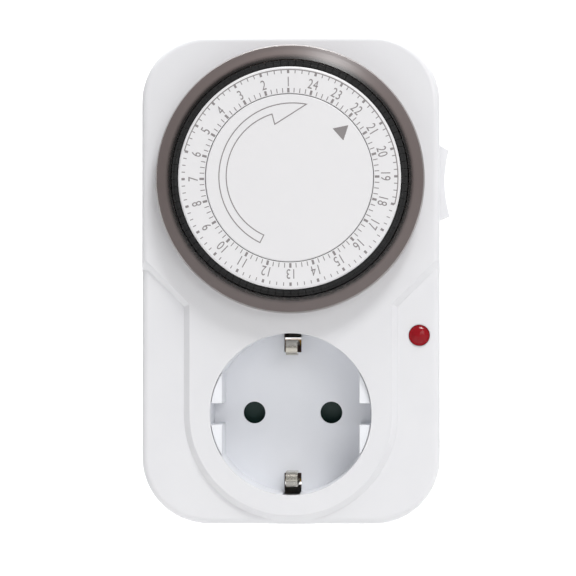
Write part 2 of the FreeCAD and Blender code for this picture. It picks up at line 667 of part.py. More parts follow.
def earth_bridge():
    """Joins the earth clips to the two earth contacts in the plug boss's sides."""
    t = "strip_thickness"
    width = ("-earth_strip_width / 2", "earth_strip_width / 2")
    front = f"({CARRIER_BACK} + 3.2)"
    inner = "(plug_boss_radius - wall + 0.15)"
    pieces = [box("bridge_base", *width, front, f"{front} + {t}", f"-{inner} - {t}", f"{inner} + {t}")]
    for i, sign in enumerate((1, -1)):
        def strip(name, z0, z1, y0, y1):
            pair = (z0, z1) if sign == 1 else (f"-({z1})", f"-({z0})")
            return box(f"{name}_{i}", *width, y0, y1, *pair)

        pieces.append(strip("bridge_leg", inner, f"{inner} + {t}", front, "-wall - 0.3"))
        pieces.append(strip("bridge_contact", f"{inner} + {t}", f"{inner} + {t} + 0.9",
                            "-plug_boss_depth + 2.5", "-wall - 2"))
    return node("earth_bridge", fuse("earth_bridge", *pieces))


def plug_pins():
    pins = []
    for i, side in enumerate(("", "-")):
        x = f"{side}contact_spacing / 2"
        profile = [
            ("0", "-pin_tail_reach"), ("pin_tail_radius", "-pin_tail_reach"),
            ("pin_tail_radius", "-wall - 2"), ("pin_flange_radius", "-wall - 2"),
            ("pin_flange_radius", "-wall"), ("pin_collar_radius", "-wall"),
            ("pin_collar_radius", "0"), ("pin_radius", "0"),
            ("pin_radius", "pin_length - pin_tip"), ("pin_radius - pin_tip * 0.8", "pin_length"),
            ("0", "pin_length"),
        ]
        pins.append(turned(f"plug_pin_{i}", profile, x, "0"))
    group = doc.addObject("Part::Compound", "plug_pins")
    group.Links = pins
    return node("plug_pins", group)


def sleeve_parts(side):
    """A fork of two springy leaves that grip a plug's pin, joined at their back and one flank."""
    middle = f"({side}contact_spacing / 2)"
    t = "strip_thickness"
    front = f"{CARRIER_BACK} + 0.3"
    base = "(-wall - 12)"
    leaf = (f"{middle} - 2.5", f"{middle} + 2.5")
    gap = "(pin_radius + 0.15)"
    parts = [
        box("leaf_top", *leaf, front, base, gap, f"{gap} + {t}"),
        box("leaf_bottom", *leaf, front, base, f"-{gap} - {t}", f"-{gap}"),
        box("leaf_base", *leaf, base, f"{base} + {t}", f"-{gap} - {t}", f"{gap} + {t}"),
    ]
    return parts, middle, base


def neutral_sleeve():
    parts, middle, base = sleeve_parts("-")
    parts.append(box("neutral_tail", f"{middle} - 2.5", f"{middle} + 2.5", base, "-pin_tail_reach",
                     "-0.25", "0.25"))
    return node("neutral_sleeve", fuse("neutral_sleeve", *parts))


RISER_BACK = f"({REAR_INSIDE} - 3)"
RISER_FRONT = f"({RISER_BACK} - strip_thickness)"
BOARD_BACK = f"({REAR_INSIDE} - 0.5)"
BOARD_FRONT = RISER_BACK
FEED_BACK = f"({REAR_INSIDE} - 1.1)"
FEED_FRONT = f"({FEED_BACK} - strip_thickness)"
BLADE_Z = f"({DIAL} + blade_z)"


def live_sleeve():
    """The switched live sleeve, its riser and the loop that holds the moving contact's root."""
    parts, middle, base = sleeve_parts("")
    t = "strip_thickness"
    half = "(pin_radius - 0.15)"
    parts.append(box("sleeve_flank", f"{middle} + 2.5", f"{middle} + 2.5 + {t}", RISER_FRONT, f"{base} + {t}",
                     f"-{half}", half))
    parts.append(box("riser_foot", f"{middle} + 2.5", "21.5", RISER_FRONT, RISER_BACK, f"-{half}", half))
    parts.append(box("riser", "19", "21.5", RISER_FRONT, RISER_BACK, half, f"{BLADE_Z} - 3"))
    parts.append(box("riser_top", "blade_root_x - 1.2", "21.5", RISER_FRONT, RISER_BACK, f"{BLADE_Z} - 5.5",
                     f"{BLADE_Z} - 3"))
    parts.append(box("riser_ear", "blade_root_x - 1.2", "blade_root_x + 1.2", RISER_FRONT, RISER_BACK,
                     f"{BLADE_Z} - 5.5", f"{BLADE_Z} + 1.2"))
    parts.append(box("blade_loop", "blade_root_x - 1.2", "blade_root_x + 1.2", BLADE_FRONT, RISER_FRONT,
                     f"{BLADE_Z} - 1.2", f"{BLADE_Z} + 1.2"))
    bore = rod("loop_bore", "0.65", f"{BLADE_FRONT} - 1", RISER_FRONT, "blade_root_x", BLADE_Z)
    mouth = box("loop_mouth", "blade_root_x", "blade_root_x + 3", f"{BLADE_FRONT} - 1", RISER_FRONT,
                f"{BLADE_Z} - 2", f"{BLADE_Z} + 0.45")
    return node("live_sleeve", cut("live_sleeve", fuse("live_sleeve_body", *parts), bore, mouth))


BLADE_FRONT = f"({FRONT} + 21)"
BLADE_BACK = f"({BLADE_FRONT} + 6.6)"


def contact_blade():
    """The springy moving contact: a rolled root, a flat blade and a riveted contact point."""
    root = rod("blade_root", "0.55", BLADE_FRONT, BLADE_BACK, "blade_root_x", BLADE_Z)
    blade = box("blade", "blade_root_x", "blade_tip_x", BLADE_FRONT, BLADE_BACK,
                f"{BLADE_Z} - blade_thickness / 2", f"{BLADE_Z} + blade_thickness / 2")
    point = upright("blade_point", "contact_radius", f"{BLADE_Z}", "contact_height + blade_thickness / 2",
                    "contact_x", f"({BLADE_FRONT} + {BLADE_BACK}) / 2")
    return node("contact_blade", fuse("contact_blade", root, blade, point))


def upright(name, radius, z0, tall, x, y):
    solid = doc.addObject("Part::Cylinder", name)
    bind(solid, Radius=radius, Height=tall)
    return place(solid, x, y, z0)


def live_feed():
    """From the live pin's tail up to the fixed contact over the blade."""
    t = "strip_thickness"
    feed_x = ("23.3", "25")
    low = ("-7.5", "-4")
    contact_low = f"({BLADE_Z} + blade_thickness / 2 + contact_height + 0.05)"
    shelf = f"({contact_low} + contact_height)"
    parts = [
        box("feed_tab", "contact_spacing / 2 - 2", "13.5", f"-pin_tail_reach - {t}", "-pin_tail_reach",
            "-7.5", "1.5"),
        box("feed_flank", f"13.5 - {t}", "13.5", FEED_BACK, "-pin_tail_reach", *low),
        box("feed_foot", f"13.5 - {t}", feed_x[1], FEED_FRONT, FEED_BACK, *low),
        box("feed_riser", *feed_x, FEED_FRONT, FEED_BACK, "-7.5", f"{shelf} + {t}"),
        box("feed_shelf", "20", feed_x[1], BLADE_FRONT, f"{BOARD_FRONT} - 0.1", shelf, f"{shelf} + {t}"),
        box("feed_top", *feed_x, f"{BOARD_FRONT} - 1", FEED_BACK, shelf, f"{shelf} + {t}"),
        upright("feed_point", "contact_radius", contact_low, "contact_height", "contact_x",
                f"({BLADE_FRONT} + {BLADE_BACK}) / 2"),
    ]
    return node("live_feed", fuse("live_feed", *parts))


def switch_board():
    board = box("board", "8", "23.2", BOARD_FRONT, BOARD_BACK, f"{DIAL} + 21.2", f"{DIAL} + 30.8")
    return node("switch_board", board)


def lamp():
    lens_back = f"{FRONT} + shoulder_step + wall + 0.9"
    lens = rod("lens_body", "lamp_radius", f"{FRONT} + shoulder_step - 0.3", lens_back, "lamp_x", "lamp_z")
    flange = rod("lens_flange", "lamp_radius + 0.45", f"{FRONT} + shoulder_step + wall + 0.02", lens_back,
                 "lamp_x", "lamp_z")
    dome = doc.addObject("Part::Sphere", "lens_dome")
    bind(dome, Radius="lamp_radius * 1.6")
    place(dome, "lamp_x", f"{FRONT} + shoulder_step - 0.85 + lamp_radius * 1.6", "lamp_z")
    cap = common("lens_cap", dome, rod("lens_cap_limit", "lamp_radius", f"{FRONT} - 2",
                                       f"{FRONT} + shoulder_step + 0.5", "lamp_x", "lamp_z"))
    node("lamp_lens", fuse("lamp_lens", lens, flange, cap))
    bulb_front = f"({FRONT} + shoulder_step + wall + 1.1)"
    bulb = rod("bulb_glass", "lamp_radius - 0.5", f"{bulb_front} + 1.2", f"{bulb_front} + 10",
               "lamp_x", "lamp_z")
    tip = doc.addObject("Part::Sphere", "bulb_tip")
    bind(tip, Radius="lamp_radius - 0.5")
    place(tip, "lamp_x", f"{bulb_front} + lamp_radius - 0.5", "lamp_z")
    node("neon_lamp", fuse("neon_lamp", bulb, tip))
    resistor = rod("resistor", "1.1", f"{bulb_front} + 13", f"{bulb_front} + 19", "lamp_x", "lamp_z")
    node("lamp_resistor", resistor)


def lead(points, radius, bend=2.0):
    """One lead: straight runs joined by tangent arcs."""
    corners = [FreeCAD.Vector(*p) for p in points]
    edges = []
    start = corners[0]
    for before, corner, after in zip(corners, corners[1:], corners[2:]):
        into = (corner - before).normalize()
        out = (after - corner).normalize()
        turn = into.getAngle(out)
        room = 0.45 * min((corner - before).Length, (after - corner).Length)
        setback = min(room, bend * math.tan(turn / 2))
        first = corner - into * setback
        last = corner + out * setback
        towards = (out - into).normalize()
        arc_radius = setback / math.tan(turn / 2)
        middle = corner + towards * (arc_radius / math.cos(turn / 2) - arc_radius)
        edges.append(Part.LineSegment(start, first).toShape())
        edges.append(Part.Arc(first, middle, last).toShape())
        start = last
    edges.append(Part.LineSegment(start, corners[-1]).toShape())
    path = Part.Wire(edges)
    profile = Part.Wire([Part.Circle(corners[0], (corners[1] - corners[0]).normalize(), radius).toShape()])
    return path.makePipeShell([profile], True, False)


def lead_wires():
    thick = size("lead_radius")
    thin = thick * 0.6
    stator_x = MOTOR_AXIS[0] + size("stator_radius")
    stator_z = MOTOR_AXIS[1]
    feed_front = number(FEED_FRONT)
    riser_back = number(RISER_FRONT)
    lamp_x, lamp_z = size("lamp_x"), size("lamp_z")
    bulb_back = number(f"{FRONT} + shoulder_step + wall + 1.1 + 10")
    sleeve_top = size("pin_radius") + 0.25 + size("strip_thickness")
    neutral_x = -size("contact_spacing") / 2
    live_z = stator_z + 2
    motor_live = [(stator_x + 0.05, -25.2, live_z), (24.4, -25.2, live_z), (24.4, feed_front, live_z)]
    below = stator_z - math.sqrt(size("stator_radius") ** 2 - 25)
    motor_neutral = [
        (-5, -24, below - 0.3), (-5, -24, 20), (neutral_x, -21.5, 13), (neutral_x, -20.4, sleeve_top),
    ]
    lamp_live = [
        (lamp_x, bulb_back + 9, lamp_z), (lamp_x, riser_back + 0.25, lamp_z),
        (21.5, riser_back + 0.25, lamp_z),
    ]
    lamp_link = [(lamp_x, bulb_back, lamp_z), (lamp_x, bulb_back + 3, lamp_z)]
    lamp_neutral = [
        (lamp_x + 1.1, bulb_back + 0.25, lamp_z), (lamp_x + 1.3, bulb_back + 6, lamp_z - 3),
        (lamp_x + 0.4, -24, -4), (22, -21.8, -14.6), (2, -21.6, -15.4), (neutral_x, -20.6, -10),
        (neutral_x, -20.4, -sleeve_top),
    ]
    leads = [
        lead(motor_live, thick), lead(motor_neutral, thick, 4), lead(lamp_live, thin), lead(lamp_link, thin),
        lead(lamp_neutral, thin, 4),
    ]
    return node("lead_wires", made("lead_wires", Part.makeCompound(leads)))


def trip_lever():
    """Pivots at the top left, runs round the dial's top and ends in a nose, a tab and a leg."""
    arm_outer = "lever_arm_radius + lever_arm_width"
    eye = rod("lever_eye", "lever_eye_radius", LEVER_FRONT, LEVER_BACK, *LEVER_PIVOT)
    arm = tube("lever_arm", arm_outer, "lever_arm_radius", LEVER_FRONT, LEVER_BACK, "0", DIAL, -14, 60)
    start = polar(DIAL_AXIS, size("lever_arm_radius") + size("lever_arm_width") / 2, -14)
    pivot = (size("lever_pivot_x"), size("dial_to_socket") + size("lever_pivot_z"))
    length = math.dist(start, pivot)
    lean = math.degrees(math.atan2(start[1] - pivot[1], start[0] - pivot[0]))
    bar = doc.addObject("Part::Box", "lever_bar")
    bind(bar, Length=length + 0.4, Width="lever_height", Height="lever_arm_width + 0.3")
    turn = FreeCAD.Rotation(FreeCAD.Vector(0, 1, 0), -lean)
    half = (size("lever_arm_width") + 0.3) / 2
    corner = turn.multVec(FreeCAD.Vector(0, 0, -half))
    bar.Placement = FreeCAD.Placement(FreeCAD.Vector(), turn)
    place(bar, pivot[0] + corner.x, LEVER_FRONT, pivot[1] + corner.z)
    nose = tube("lever_nose", "lever_arm_radius + 0.2", "tappet_foot_radius + 0.3",
                f"{FRONT} + tappet_foot_depth + tappet_foot_height + 0.45", LEVER_BACK, "0", DIAL, 42, 4)
    pad = tube("lever_pad", "lever_arm_radius + lever_pad_width", "lever_arm_radius + 0.1",
               LEVER_FRONT, f"{LEVER_FRONT} + 2", "0", DIAL, 36, 10)
    tab_x = ("lever_tab_x", "lever_tab_x + 1.8")
    tab_top = f"({BLADE_Z} - blade_thickness / 2 - 0.05)"
    tab = box("lever_tab", *tab_x, LEVER_FRONT, LEG_BACK, f"{DIAL} + lever_tab_z", tab_top)
    leg = box("lever_leg", *tab_x, LEG_FRONT, LEG_BACK, f"{FINGER_TOP} + lever_leg_gap", tab_top)
    body = fuse("lever_body", eye, arm, bar, nose, pad, tab, leg)
    bore = rod("lever_bore", "lever_pin_radius + running_gap", f"{LEVER_FRONT} - 1", f"{LEVER_BACK} + 1",
               *LEVER_PIVOT)
    return node("trip_lever", cut("trip_lever", body, bore))


LEG_FRONT = f"({FRONT} + 23)"
LEG_BACK = f"({LEG_FRONT} + 2)"
FINGER_TOP = f"({ROCKER_Z} - 0.2)"


def override_rocker():
    """The rocker in the right side: a hollow-faced cap, two pins and a finger under the lever leg."""
    side = size("case_width") / 2
    middle = number(ROCKER_Z)
    back = number(ROCKER_BACK)
    outline = [(-7.5, -3.5), (-7.5, 3.5), (-2.6, 9.0), (0.0, 9.2), (2.4, 7.75)]
    hollow = [(2.4, 7.75), (1.4, 0.3), (2.6, -8.3)]
    closing = [(2.6, -8.3), (0.0, -9.5), (-2.6, -9.2), (-7.5, -3.5)]

    def at(spots):
        return [FreeCAD.Vector(side + u, back, middle + v) for u, v in spots]

    edges = [Part.LineSegment(a, b).toShape() for a, b in zip(at(outline), at(outline)[1:])]
    edges.append(Part.Arc(*at(hollow)).toShape())
    edges += [Part.LineSegment(a, b).toShape() for a, b in zip(at(closing), at(closing)[1:])]
    cap_face = Part.Face(Part.Wire(edges))
    cap = made("rocker_cap", cap_face.extrude(FreeCAD.Vector(0, -size("rocker_thickness"), 0)))
    pins = rod("rocker_pins", "rocker_pin_radius", f"{ROCKER_FRONT} - 1.5", f"{ROCKER_BACK} + 1.8",
               "rocker_pivot_x", ROCKER_Z)
    inner_x = "rocker_pivot_x - 5"
    root = box("finger_root", inner_x, "rocker_pivot_x - 1.9", f"{ROCKER_BACK} - 1", LEG_BACK,
               f"{FINGER_TOP} - 2.6", FINGER_TOP)
    finger = box("finger", "rocker_pivot_x - rocker_finger", "rocker_pivot_x - 1.9", LEG_FRONT, LEG_BACK,
                 f"{FINGER_TOP} - 1.2", FINGER_TOP)
    return node("override_rocker", fuse("override_rocker", cap, pins, root, finger))


# Dial
TAPPETS = 96
GROUPS = 12
PITCH = 360 / TAPPETS
TAPPET_INNER = "(dial_radius + 0.2)"
DRUM = "(dial_radius + 0.1)"
HEAD_BOTTOM = "(tappet_head_top - tappet_head_height)"
FIN_TOP = f"({HEAD_BOTTOM} - tappet_travel - 0.1)"
FIN_BOTTOM = "(-tappet_foot_depth + 0.3)"


def tappet_angle(index):
    """Clock angle of one tappet, from the top."""
    return (index + 0.5) * PITCH - size("dial_turn")


def tappet():
    """One tappet at the top of the dial: a stepped head, a stem and a foot."""
    sweep = PITCH - math.degrees(size("tappet_gap") / size("tappet_step_radius"))
    low = tube("head_low", "tappet_head_radius", TAPPET_INNER, height("tappet_head_top - tappet_head_step"),
               height(HEAD_BOTTOM), "0", DIAL, -sweep / 2, sweep)
    high = tube("head_high", "tappet_step_radius", TAPPET_INNER, height("tappet_head_top"),
                height(HEAD_BOTTOM), "0", DIAL, -sweep / 2, sweep)
    stem_x = ("-tappet_stem_width / 2", "tappet_stem_width / 2")
    inner = f"{DIAL} + {TAPPET_INNER} + 0.15"
    stem = box("tappet_stem", *stem_x, height(HEAD_BOTTOM), height("-tappet_foot_depth"), inner,
               f"{DIAL} + fin_radius - 0.1")
    foot = box("tappet_foot", *stem_x, height("-tappet_foot_depth"),
               height("-tappet_foot_depth - tappet_foot_height"), inner, f"{DIAL} + tappet_foot_radius")
    return fuse("tappet", low, high, stem, foot)


def about_dial(shape, clock_degrees):
    copy = shape.copy()
    copy.rotate(FreeCAD.Vector(0, 0, DIAL_AXIS[1]), FreeCAD.Vector(0, 1, 0), clock_degrees)
    return copy


def tappet_groups():
    """Twelve groups of eight tappets, two hours each."""
    one = tappet()
    doc.recompute()
    each = TAPPETS // GROUPS
    for group in range(GROUPS):
        copies = [about_dial(one.Shape, tappet_angle(group * each + i)) for i in range(each)]
        name = f"tappets_{group + 1:02d}"
        node(name, made(name, Part.makeCompound(copies)))


def tappet_carrier():
    """The dial's black drum: hub, web, wall, ring gear and the fins that guide the tappets."""
    bore = "post_radius + running_gap + 0.03"
    wall_in = f"{DRUM} - drum_wall"
    profile = [
        (bore, height("-well_depth + 0.25")), ("hub_radius", height("-well_depth + 0.25")),
        ("hub_radius", height("-2")), (wall_in, height("-2")), (wall_in, height("-well_depth + 0.8")),
        (DRUM, height("-well_depth + 0.8")), (DRUM, height("dial_height - hour_plate_thickness")),
        (wall_in, height("dial_height - hour_plate_thickness")), (wall_in, height("-0.5")),
        ("hub_radius", height("-0.5")), ("hub_radius", height("4")), (bore, height("4")),
    ]
    drum = turned("drum", profile, "0", DIAL)
    collar = tube("fin_ring", "fin_radius", f"{DRUM} - 0.3", height(FIN_TOP), height(FIN_BOTTOM), "0", DIAL)
    module = size("ring_module")
    outer = number(wall_in) + 0.2
    ring_front = number(height("-well_depth + 3.7"))
    ring_back = number(height("-well_depth + 0.8"))
    mesh_turn = math.radians(90 - 225)
    gap = gear_outline(RING_TEETH, module, mesh_turn + math.pi / RING_TEETH, True)
    ring_face = Part.Face([circle(outer), polygon(gap)])
    ring = made("ring_gear", standing(ring_face, (0, DIAL_AXIS[1]), ring_front, ring_back))
    joined = fuse("carrier_blank", drum, collar, ring)
    doc.recompute()
    half = size("tappet_stem_width") / 2 + 0.1
    inner = number(DRUM)
    slot = Part.makeBox(2 * half, number(FIN_TOP) - number(FIN_BOTTOM) + 2, 4,
                        FreeCAD.Vector(-half, number(height(FIN_TOP)) - 1, DIAL_AXIS[1] + inner))
    slots = made("fin_slots", Part.makeCompound([about_dial(slot, tappet_angle(i)) for i in range(TAPPETS)]))
    return node("tappet_carrier", cut("tappet_carrier", joined, slots))


def tappet_band():
    band = tube("tappet_band", "fin_radius + 0.01 + band_thickness", "fin_radius + 0.01",
                height(f"{FIN_TOP} - 0.1"), height(f"{FIN_BOTTOM} + 0.1"), "0", DIAL)
    return node("tappet_band", band)


def hour_plate():
    inner = "centre_disc_radius + disc_gap"
    under = "dial_height - hour_plate_thickness"
    profile = [
        (inner, height("dial_height")), ("dial_radius - 0.3", height("dial_height")),
        ("dial_radius", height("dial_height - 0.3")), ("dial_radius", height(under)),
        (f"{inner} + 1", height(under)), (f"{inner} + 1", height(f"{under} - 1.8")),
        (inner, height(f"{under} - 1.8")),
    ]
    return node("hour_plate", turned("hour_plate", profile, "0", DIAL))


def centre_disc():
    under = "dial_height - hour_plate_thickness"
    stud = "post_radius - 1.6"
    profile = [
        ("0", height("dial_height")), ("centre_disc_radius - 0.15", height("dial_height")),
        ("centre_disc_radius", height("dial_height - 0.15")), ("centre_disc_radius", height(under)),
        ("post_radius - 0.1", height(under)), ("post_radius - 0.1", height("5.2")), (stud, height("5.2")),
        (stud, height("0")), ("0", height("0")),
    ]
    return node("centre_disc", turned("centre_disc", profile, "0", DIAL))


def dial_post():
    bore = "post_radius - 1.6 + fit_gap"
    profile = [
        (bore, height("5.2")), ("post_radius", height("5.2")), ("post_radius", height("-well_depth")),
        ("post_radius - 1", height("-well_depth")), ("post_radius - 1", height("-well_depth - well_floor")),
        ("post_radius + 0.6", height("-well_depth - well_floor")),
        ("post_radius + 0.6", height("-well_depth - well_floor - 0.6")),
        ("0", height("-well_depth - well_floor - 0.6")), ("0", height("-0.5")), (bore, height("-0.5")),
    ]
    return node("dial_post", turned("dial_post", profile, "0", DIAL))


def dial_washer():
    ring = tube("dial_washer", "hub_radius - 0.6", "post_radius + 0.02", height("4.65"), height("4.05"),
                "0", DIAL)
    return node("dial_washer", ring)


def dial_bezel():
    """The smoked ring over the tappets' feet: a spigot in the opening, a low wall and a sloped top."""
    inner_wall = "opening_radius - 0.9"
    lip = "bezel_inner_radius"
    profile = [
        (inner_wall, height("-1.6")), ("opening_radius - fit_gap", height("-1.6")),
        ("opening_radius - fit_gap", height("0")), ("bezel_radius", height("0")),
        ("bezel_radius", height("bezel_height - 1.2")),
        ("bezel_radius - 0.35", height("bezel_height - 0.35")),
        ("bezel_radius - 1.2", height("bezel_height")), (lip, height("bezel_lip_height")),
        (lip, height("bezel_lip_height - bezel_wall")),
        (f"{inner_wall} - 0.9", height("bezel_height - bezel_wall")),
        (inner_wall, height("bezel_height - bezel_wall - 0.9")),
    ]
    return node("dial_bezel", turned("dial_bezel", profile, "0", DIAL))


# Gears
ADDENDUM = 0.8
DEDENDUM = 1.15
HALF_TOOTH = 0.18
FLANK = math.tan(math.radians(20))


def gear_outline(teeth, module, turn, internal=False):
    """Corners of straight-flanked teeth, one of them centred on the angle turn from +X towards +Z."""
    pitch_radius = teeth * module / 2
    way = -1 if internal else 1
    tip = pitch_radius + way * ADDENDUM * module
    root = pitch_radius - way * DEDENDUM * module
    half = HALF_TOOTH * math.pi * module
    tip_half = half - ADDENDUM * module * FLANK
    root_half = half + DEDENDUM * module * FLANK
    corners = []
    for k in range(teeth):
        angle = turn + 2 * math.pi * k / teeth
        for radius, side in ((root, -root_half), (tip, -tip_half), (tip, tip_half), (root, root_half)):
            corners.append((
                radius * math.cos(angle) - side * math.sin(angle),
                radius * math.sin(angle) + side * math.cos(angle),
            ))
    return corners


def polygon(corners):
    points = [FreeCAD.Vector(x, 0, z) for x, z in corners]
    return Part.makePolygon(points + points[:1])


def circle(radius):
    return Part.Wire([Part.Circle(FreeCAD.Vector(), FreeCAD.Vector(0, 1, 0), radius).toShape()])


def standing(face, centre, y0, y1):
    """A flat face made at the origin, moved to centre and thickened from y0 to y1."""
    moved = face.copy()
    moved.translate(FreeCAD.Vector(centre[0], y0, centre[1]))
    return moved.extrude(FreeCAD.Vector(0, y1 - y0, 0))


def disc(radius, centre, y0, y1, bore=0.0):
    """A disc along Y, with a bore where one is given."""
    along = FreeCAD.Vector(0, 1, 0)
    solid = Part.makeCylinder(radius, y1 - y0, FreeCAD.Vector(centre[0], y0, centre[1]), along)
    if not bore:
        return solid
    through = Part.makeCylinder(bore, y1 - y0 + 2, FreeCAD.Vector(centre[0], y0 - 1, centre[1]), along)
    return solid.cut(through)


def toothed(teeth, module, turn, centre, y0, y1, bore):
    face = Part.Face([polygon(gear_outline(teeth, module, turn)), circle(bore)])
    return standing(face, centre, y0, y1)


def bearing(start, end):
    """Angle from +X towards +Z of the line from one centre to another."""
    return math.atan2(end[1] - start[1], end[0] - start[0])


def layer(index):
    """The back and front of wheel layer 1, 2 and so on, counted from the gear plate."""
    back = number(PLATE_FRONT) - 0.35 - (index - 1) * size("layer_pitch")
    return back - size("wheel_thickness"), back


CENTRES = [MOTOR_AXIS, ARBOR_A, ARBOR_B, ARBOR_A, ARBOR_B, ARBOR_A, ARBOR_B]


def reduction_gear(index):
    """Gear 1 to 5: a wheel in its own layer and a pinion that reaches into the next one."""
    module = size("train_module")
    before, here, after = CENTRES[index - 1:index + 2]
    wheel_teeth = STAGES[index - 1][1]
    pinion_teeth = STAGES[index][0]
    bore = size("arbor_radius") + size("running_gap")
    front, back = layer(index)
    next_front, _ = layer(index + 1)
    wheel_turn = bearing(here, before) + math.pi / wheel_teeth
    pinion_turn = bearing(here, after)
    parts = [
        toothed(wheel_teeth, module, wheel_turn, here, front, back, bore),
        toothed(pinion_teeth, module, pinion_turn, here, next_front - 0.1, front + 0.1, bore),
    ]
    if index < 3:
        parts.append(disc(bore + 0.45, here, back - 0.1, number(PLATE_FRONT) - 0.08, bore))
    if index == 5:
        parts.append(disc(bore + 0.6, here, number(WELL_BACK) + 0.1, next_front, bore))
    name = f"gear_{index}"
    return node(name, made(name, parts[0].multiFuse(parts[1:]).removeSplitter()))


def clutch_wheel():
    module = size("train_module")
    front, back = layer(6)
    teeth = STAGES[5][1]
    turn = bearing(ARBOR_B, ARBOR_A) + math.pi / teeth
    bore = CLUTCH_SLEEVE + size("running_gap")
    wheel = toothed(teeth, module, turn, ARBOR_B, front, back, bore)
    return node("clutch_wheel", made("clutch_wheel", wheel))


CLUTCH_SLEEVE = 1.3


def clutch_washer():
    front, _ = layer(6)
    washer = disc(3.8, ARBOR_B, front - 0.35, front - 0.05, CLUTCH_SLEEVE + 0.1)
    return node("clutch_washer", made("clutch_washer", washer))


def drive_pinion():
    """Meshes with the dial's ring gear and takes its drive from the clutch wheel by friction."""
    module = size("ring_module")
    bore = size("arbor_radius") + size("running_gap")
    wheel_front, wheel_back = layer(6)
    floor_back = number(WELL_BACK)
    floor_front = number(WELL_TOP)
    teeth_front = number(height("-well_depth + 3.8"))
    outward = bearing(DIAL_AXIS, ARBOR_B)
    parts = [
        toothed(DRIVE_TEETH, module, outward, ARBOR_B, teeth_front, floor_front + 0.1, bore),
        disc(number(JOURNAL), ARBOR_B, floor_front - 0.1, floor_back + 0.2, bore),
        disc(4.5, ARBOR_B, floor_back + 0.1, wheel_front - 0.4, bore),
        disc(CLUTCH_SLEEVE, ARBOR_B, wheel_front - 0.5, wheel_back + 0.1, bore),
    ]
    return node("drive_pinion", made("drive_pinion", parts[0].multiFuse(parts[1:]).removeSplitter()))


def gear_arbors():
    radius = size("arbor_radius")
    arbors = [
        disc(radius, ARBOR_A, number(f"{WELL_BACK} - 0.8"), number(PLATE_BACK)),
        disc(radius, ARBOR_B, number(height("-well_depth + 3.4")), number(PLATE_BACK)),
        disc(radius, MOTOR_AXIS, layer(1)[0] - 0.6, number(STATOR_BACK)),
    ]
    return node("gear_arbors", made("gear_arbors", Part.makeCompound(arbors)))


def gear_plate():
    """The steel plate that carries the arbors and closes the motor's front."""
    radius = size("arbor_radius")
    left = min(p[0] for p in PILLARS) - pillar_radius - 0.8
    right = MOTOR_AXIS[0] + size("stator_radius") + 1.4
    low = min(min(p[1] for p in PILLARS) - pillar_radius - 0.8, ARBOR_B[1] - 4)
    high = MOTOR_AXIS[1] + size("stator_radius") + 1
    plate_box = box("plate_blank", left, right, PLATE_FRONT, PLATE_BACK, low, high)
    blank = rounded("plate_rounded", plate_box, 4, runs_along_y)
    holes = [
        rod("plate_arbor_a", radius + 0.01, f"{PLATE_FRONT} - 1", f"{PLATE_BACK} + 1", *ARBOR_A),
        rod("plate_arbor_b", radius + 0.01, f"{PLATE_FRONT} - 1", f"{PLATE_BACK} + 1", *ARBOR_B),
        rod("plate_motor", 2.0, f"{PLATE_FRONT} - 1", f"{PLATE_BACK} + 1", *MOTOR_AXIS),
    ]
    for i, (x, z) in enumerate(PILLARS):
        holes.append(rod(f"plate_screw_hole_{i}", 0.9, f"{PLATE_FRONT} - 1", f"{PLATE_BACK} + 1", x, z))
    return node("gear_plate", cut("gear_plate", blank, *holes))


def plate_screws():
    screws = []
    for i, (x, z) in enumerate(PILLARS):
        head = rod(f"plate_screw_head_{i}", 1.6, PLATE_BACK, f"{PLATE_BACK} + 1", x, z)
        shank = rod(f"plate_screw_shank_{i}", 0.8, f"{PLATE_FRONT} - 4.6", PLATE_BACK, x, z)
        screws.append(fuse(f"plate_screw_{i}", head, shank))
    group = doc.addObject("Part::Compound", "plate_screws")
    group.Links = screws
    return node("plate_screws", group)


# Motor
POLES = 12
POLE_WIDTH = 11.0


def claw(inner, outer, y0, y1, clock_degrees):
    """One claw pole: a sector centred on a clock angle."""
    sector = Part.makeCylinder(outer, y1 - y0, FreeCAD.Vector(), FreeCAD.Vector(0, 0, 1), POLE_WIDTH)
    sector = sector.cut(Part.makeCylinder(inner, y1 - y0 + 2, FreeCAD.Vector(0, 0, -1)))
    sector.rotate(FreeCAD.Vector(), FreeCAD.Vector(1, 0, 0), -90)
    sector.rotate(FreeCAD.Vector(), FreeCAD.Vector(0, 1, 0), clock_degrees - 90 - POLE_WIDTH / 2)
    sector.translate(FreeCAD.Vector(MOTOR_AXIS[0], y0, MOTOR_AXIS[1]))
    return sector


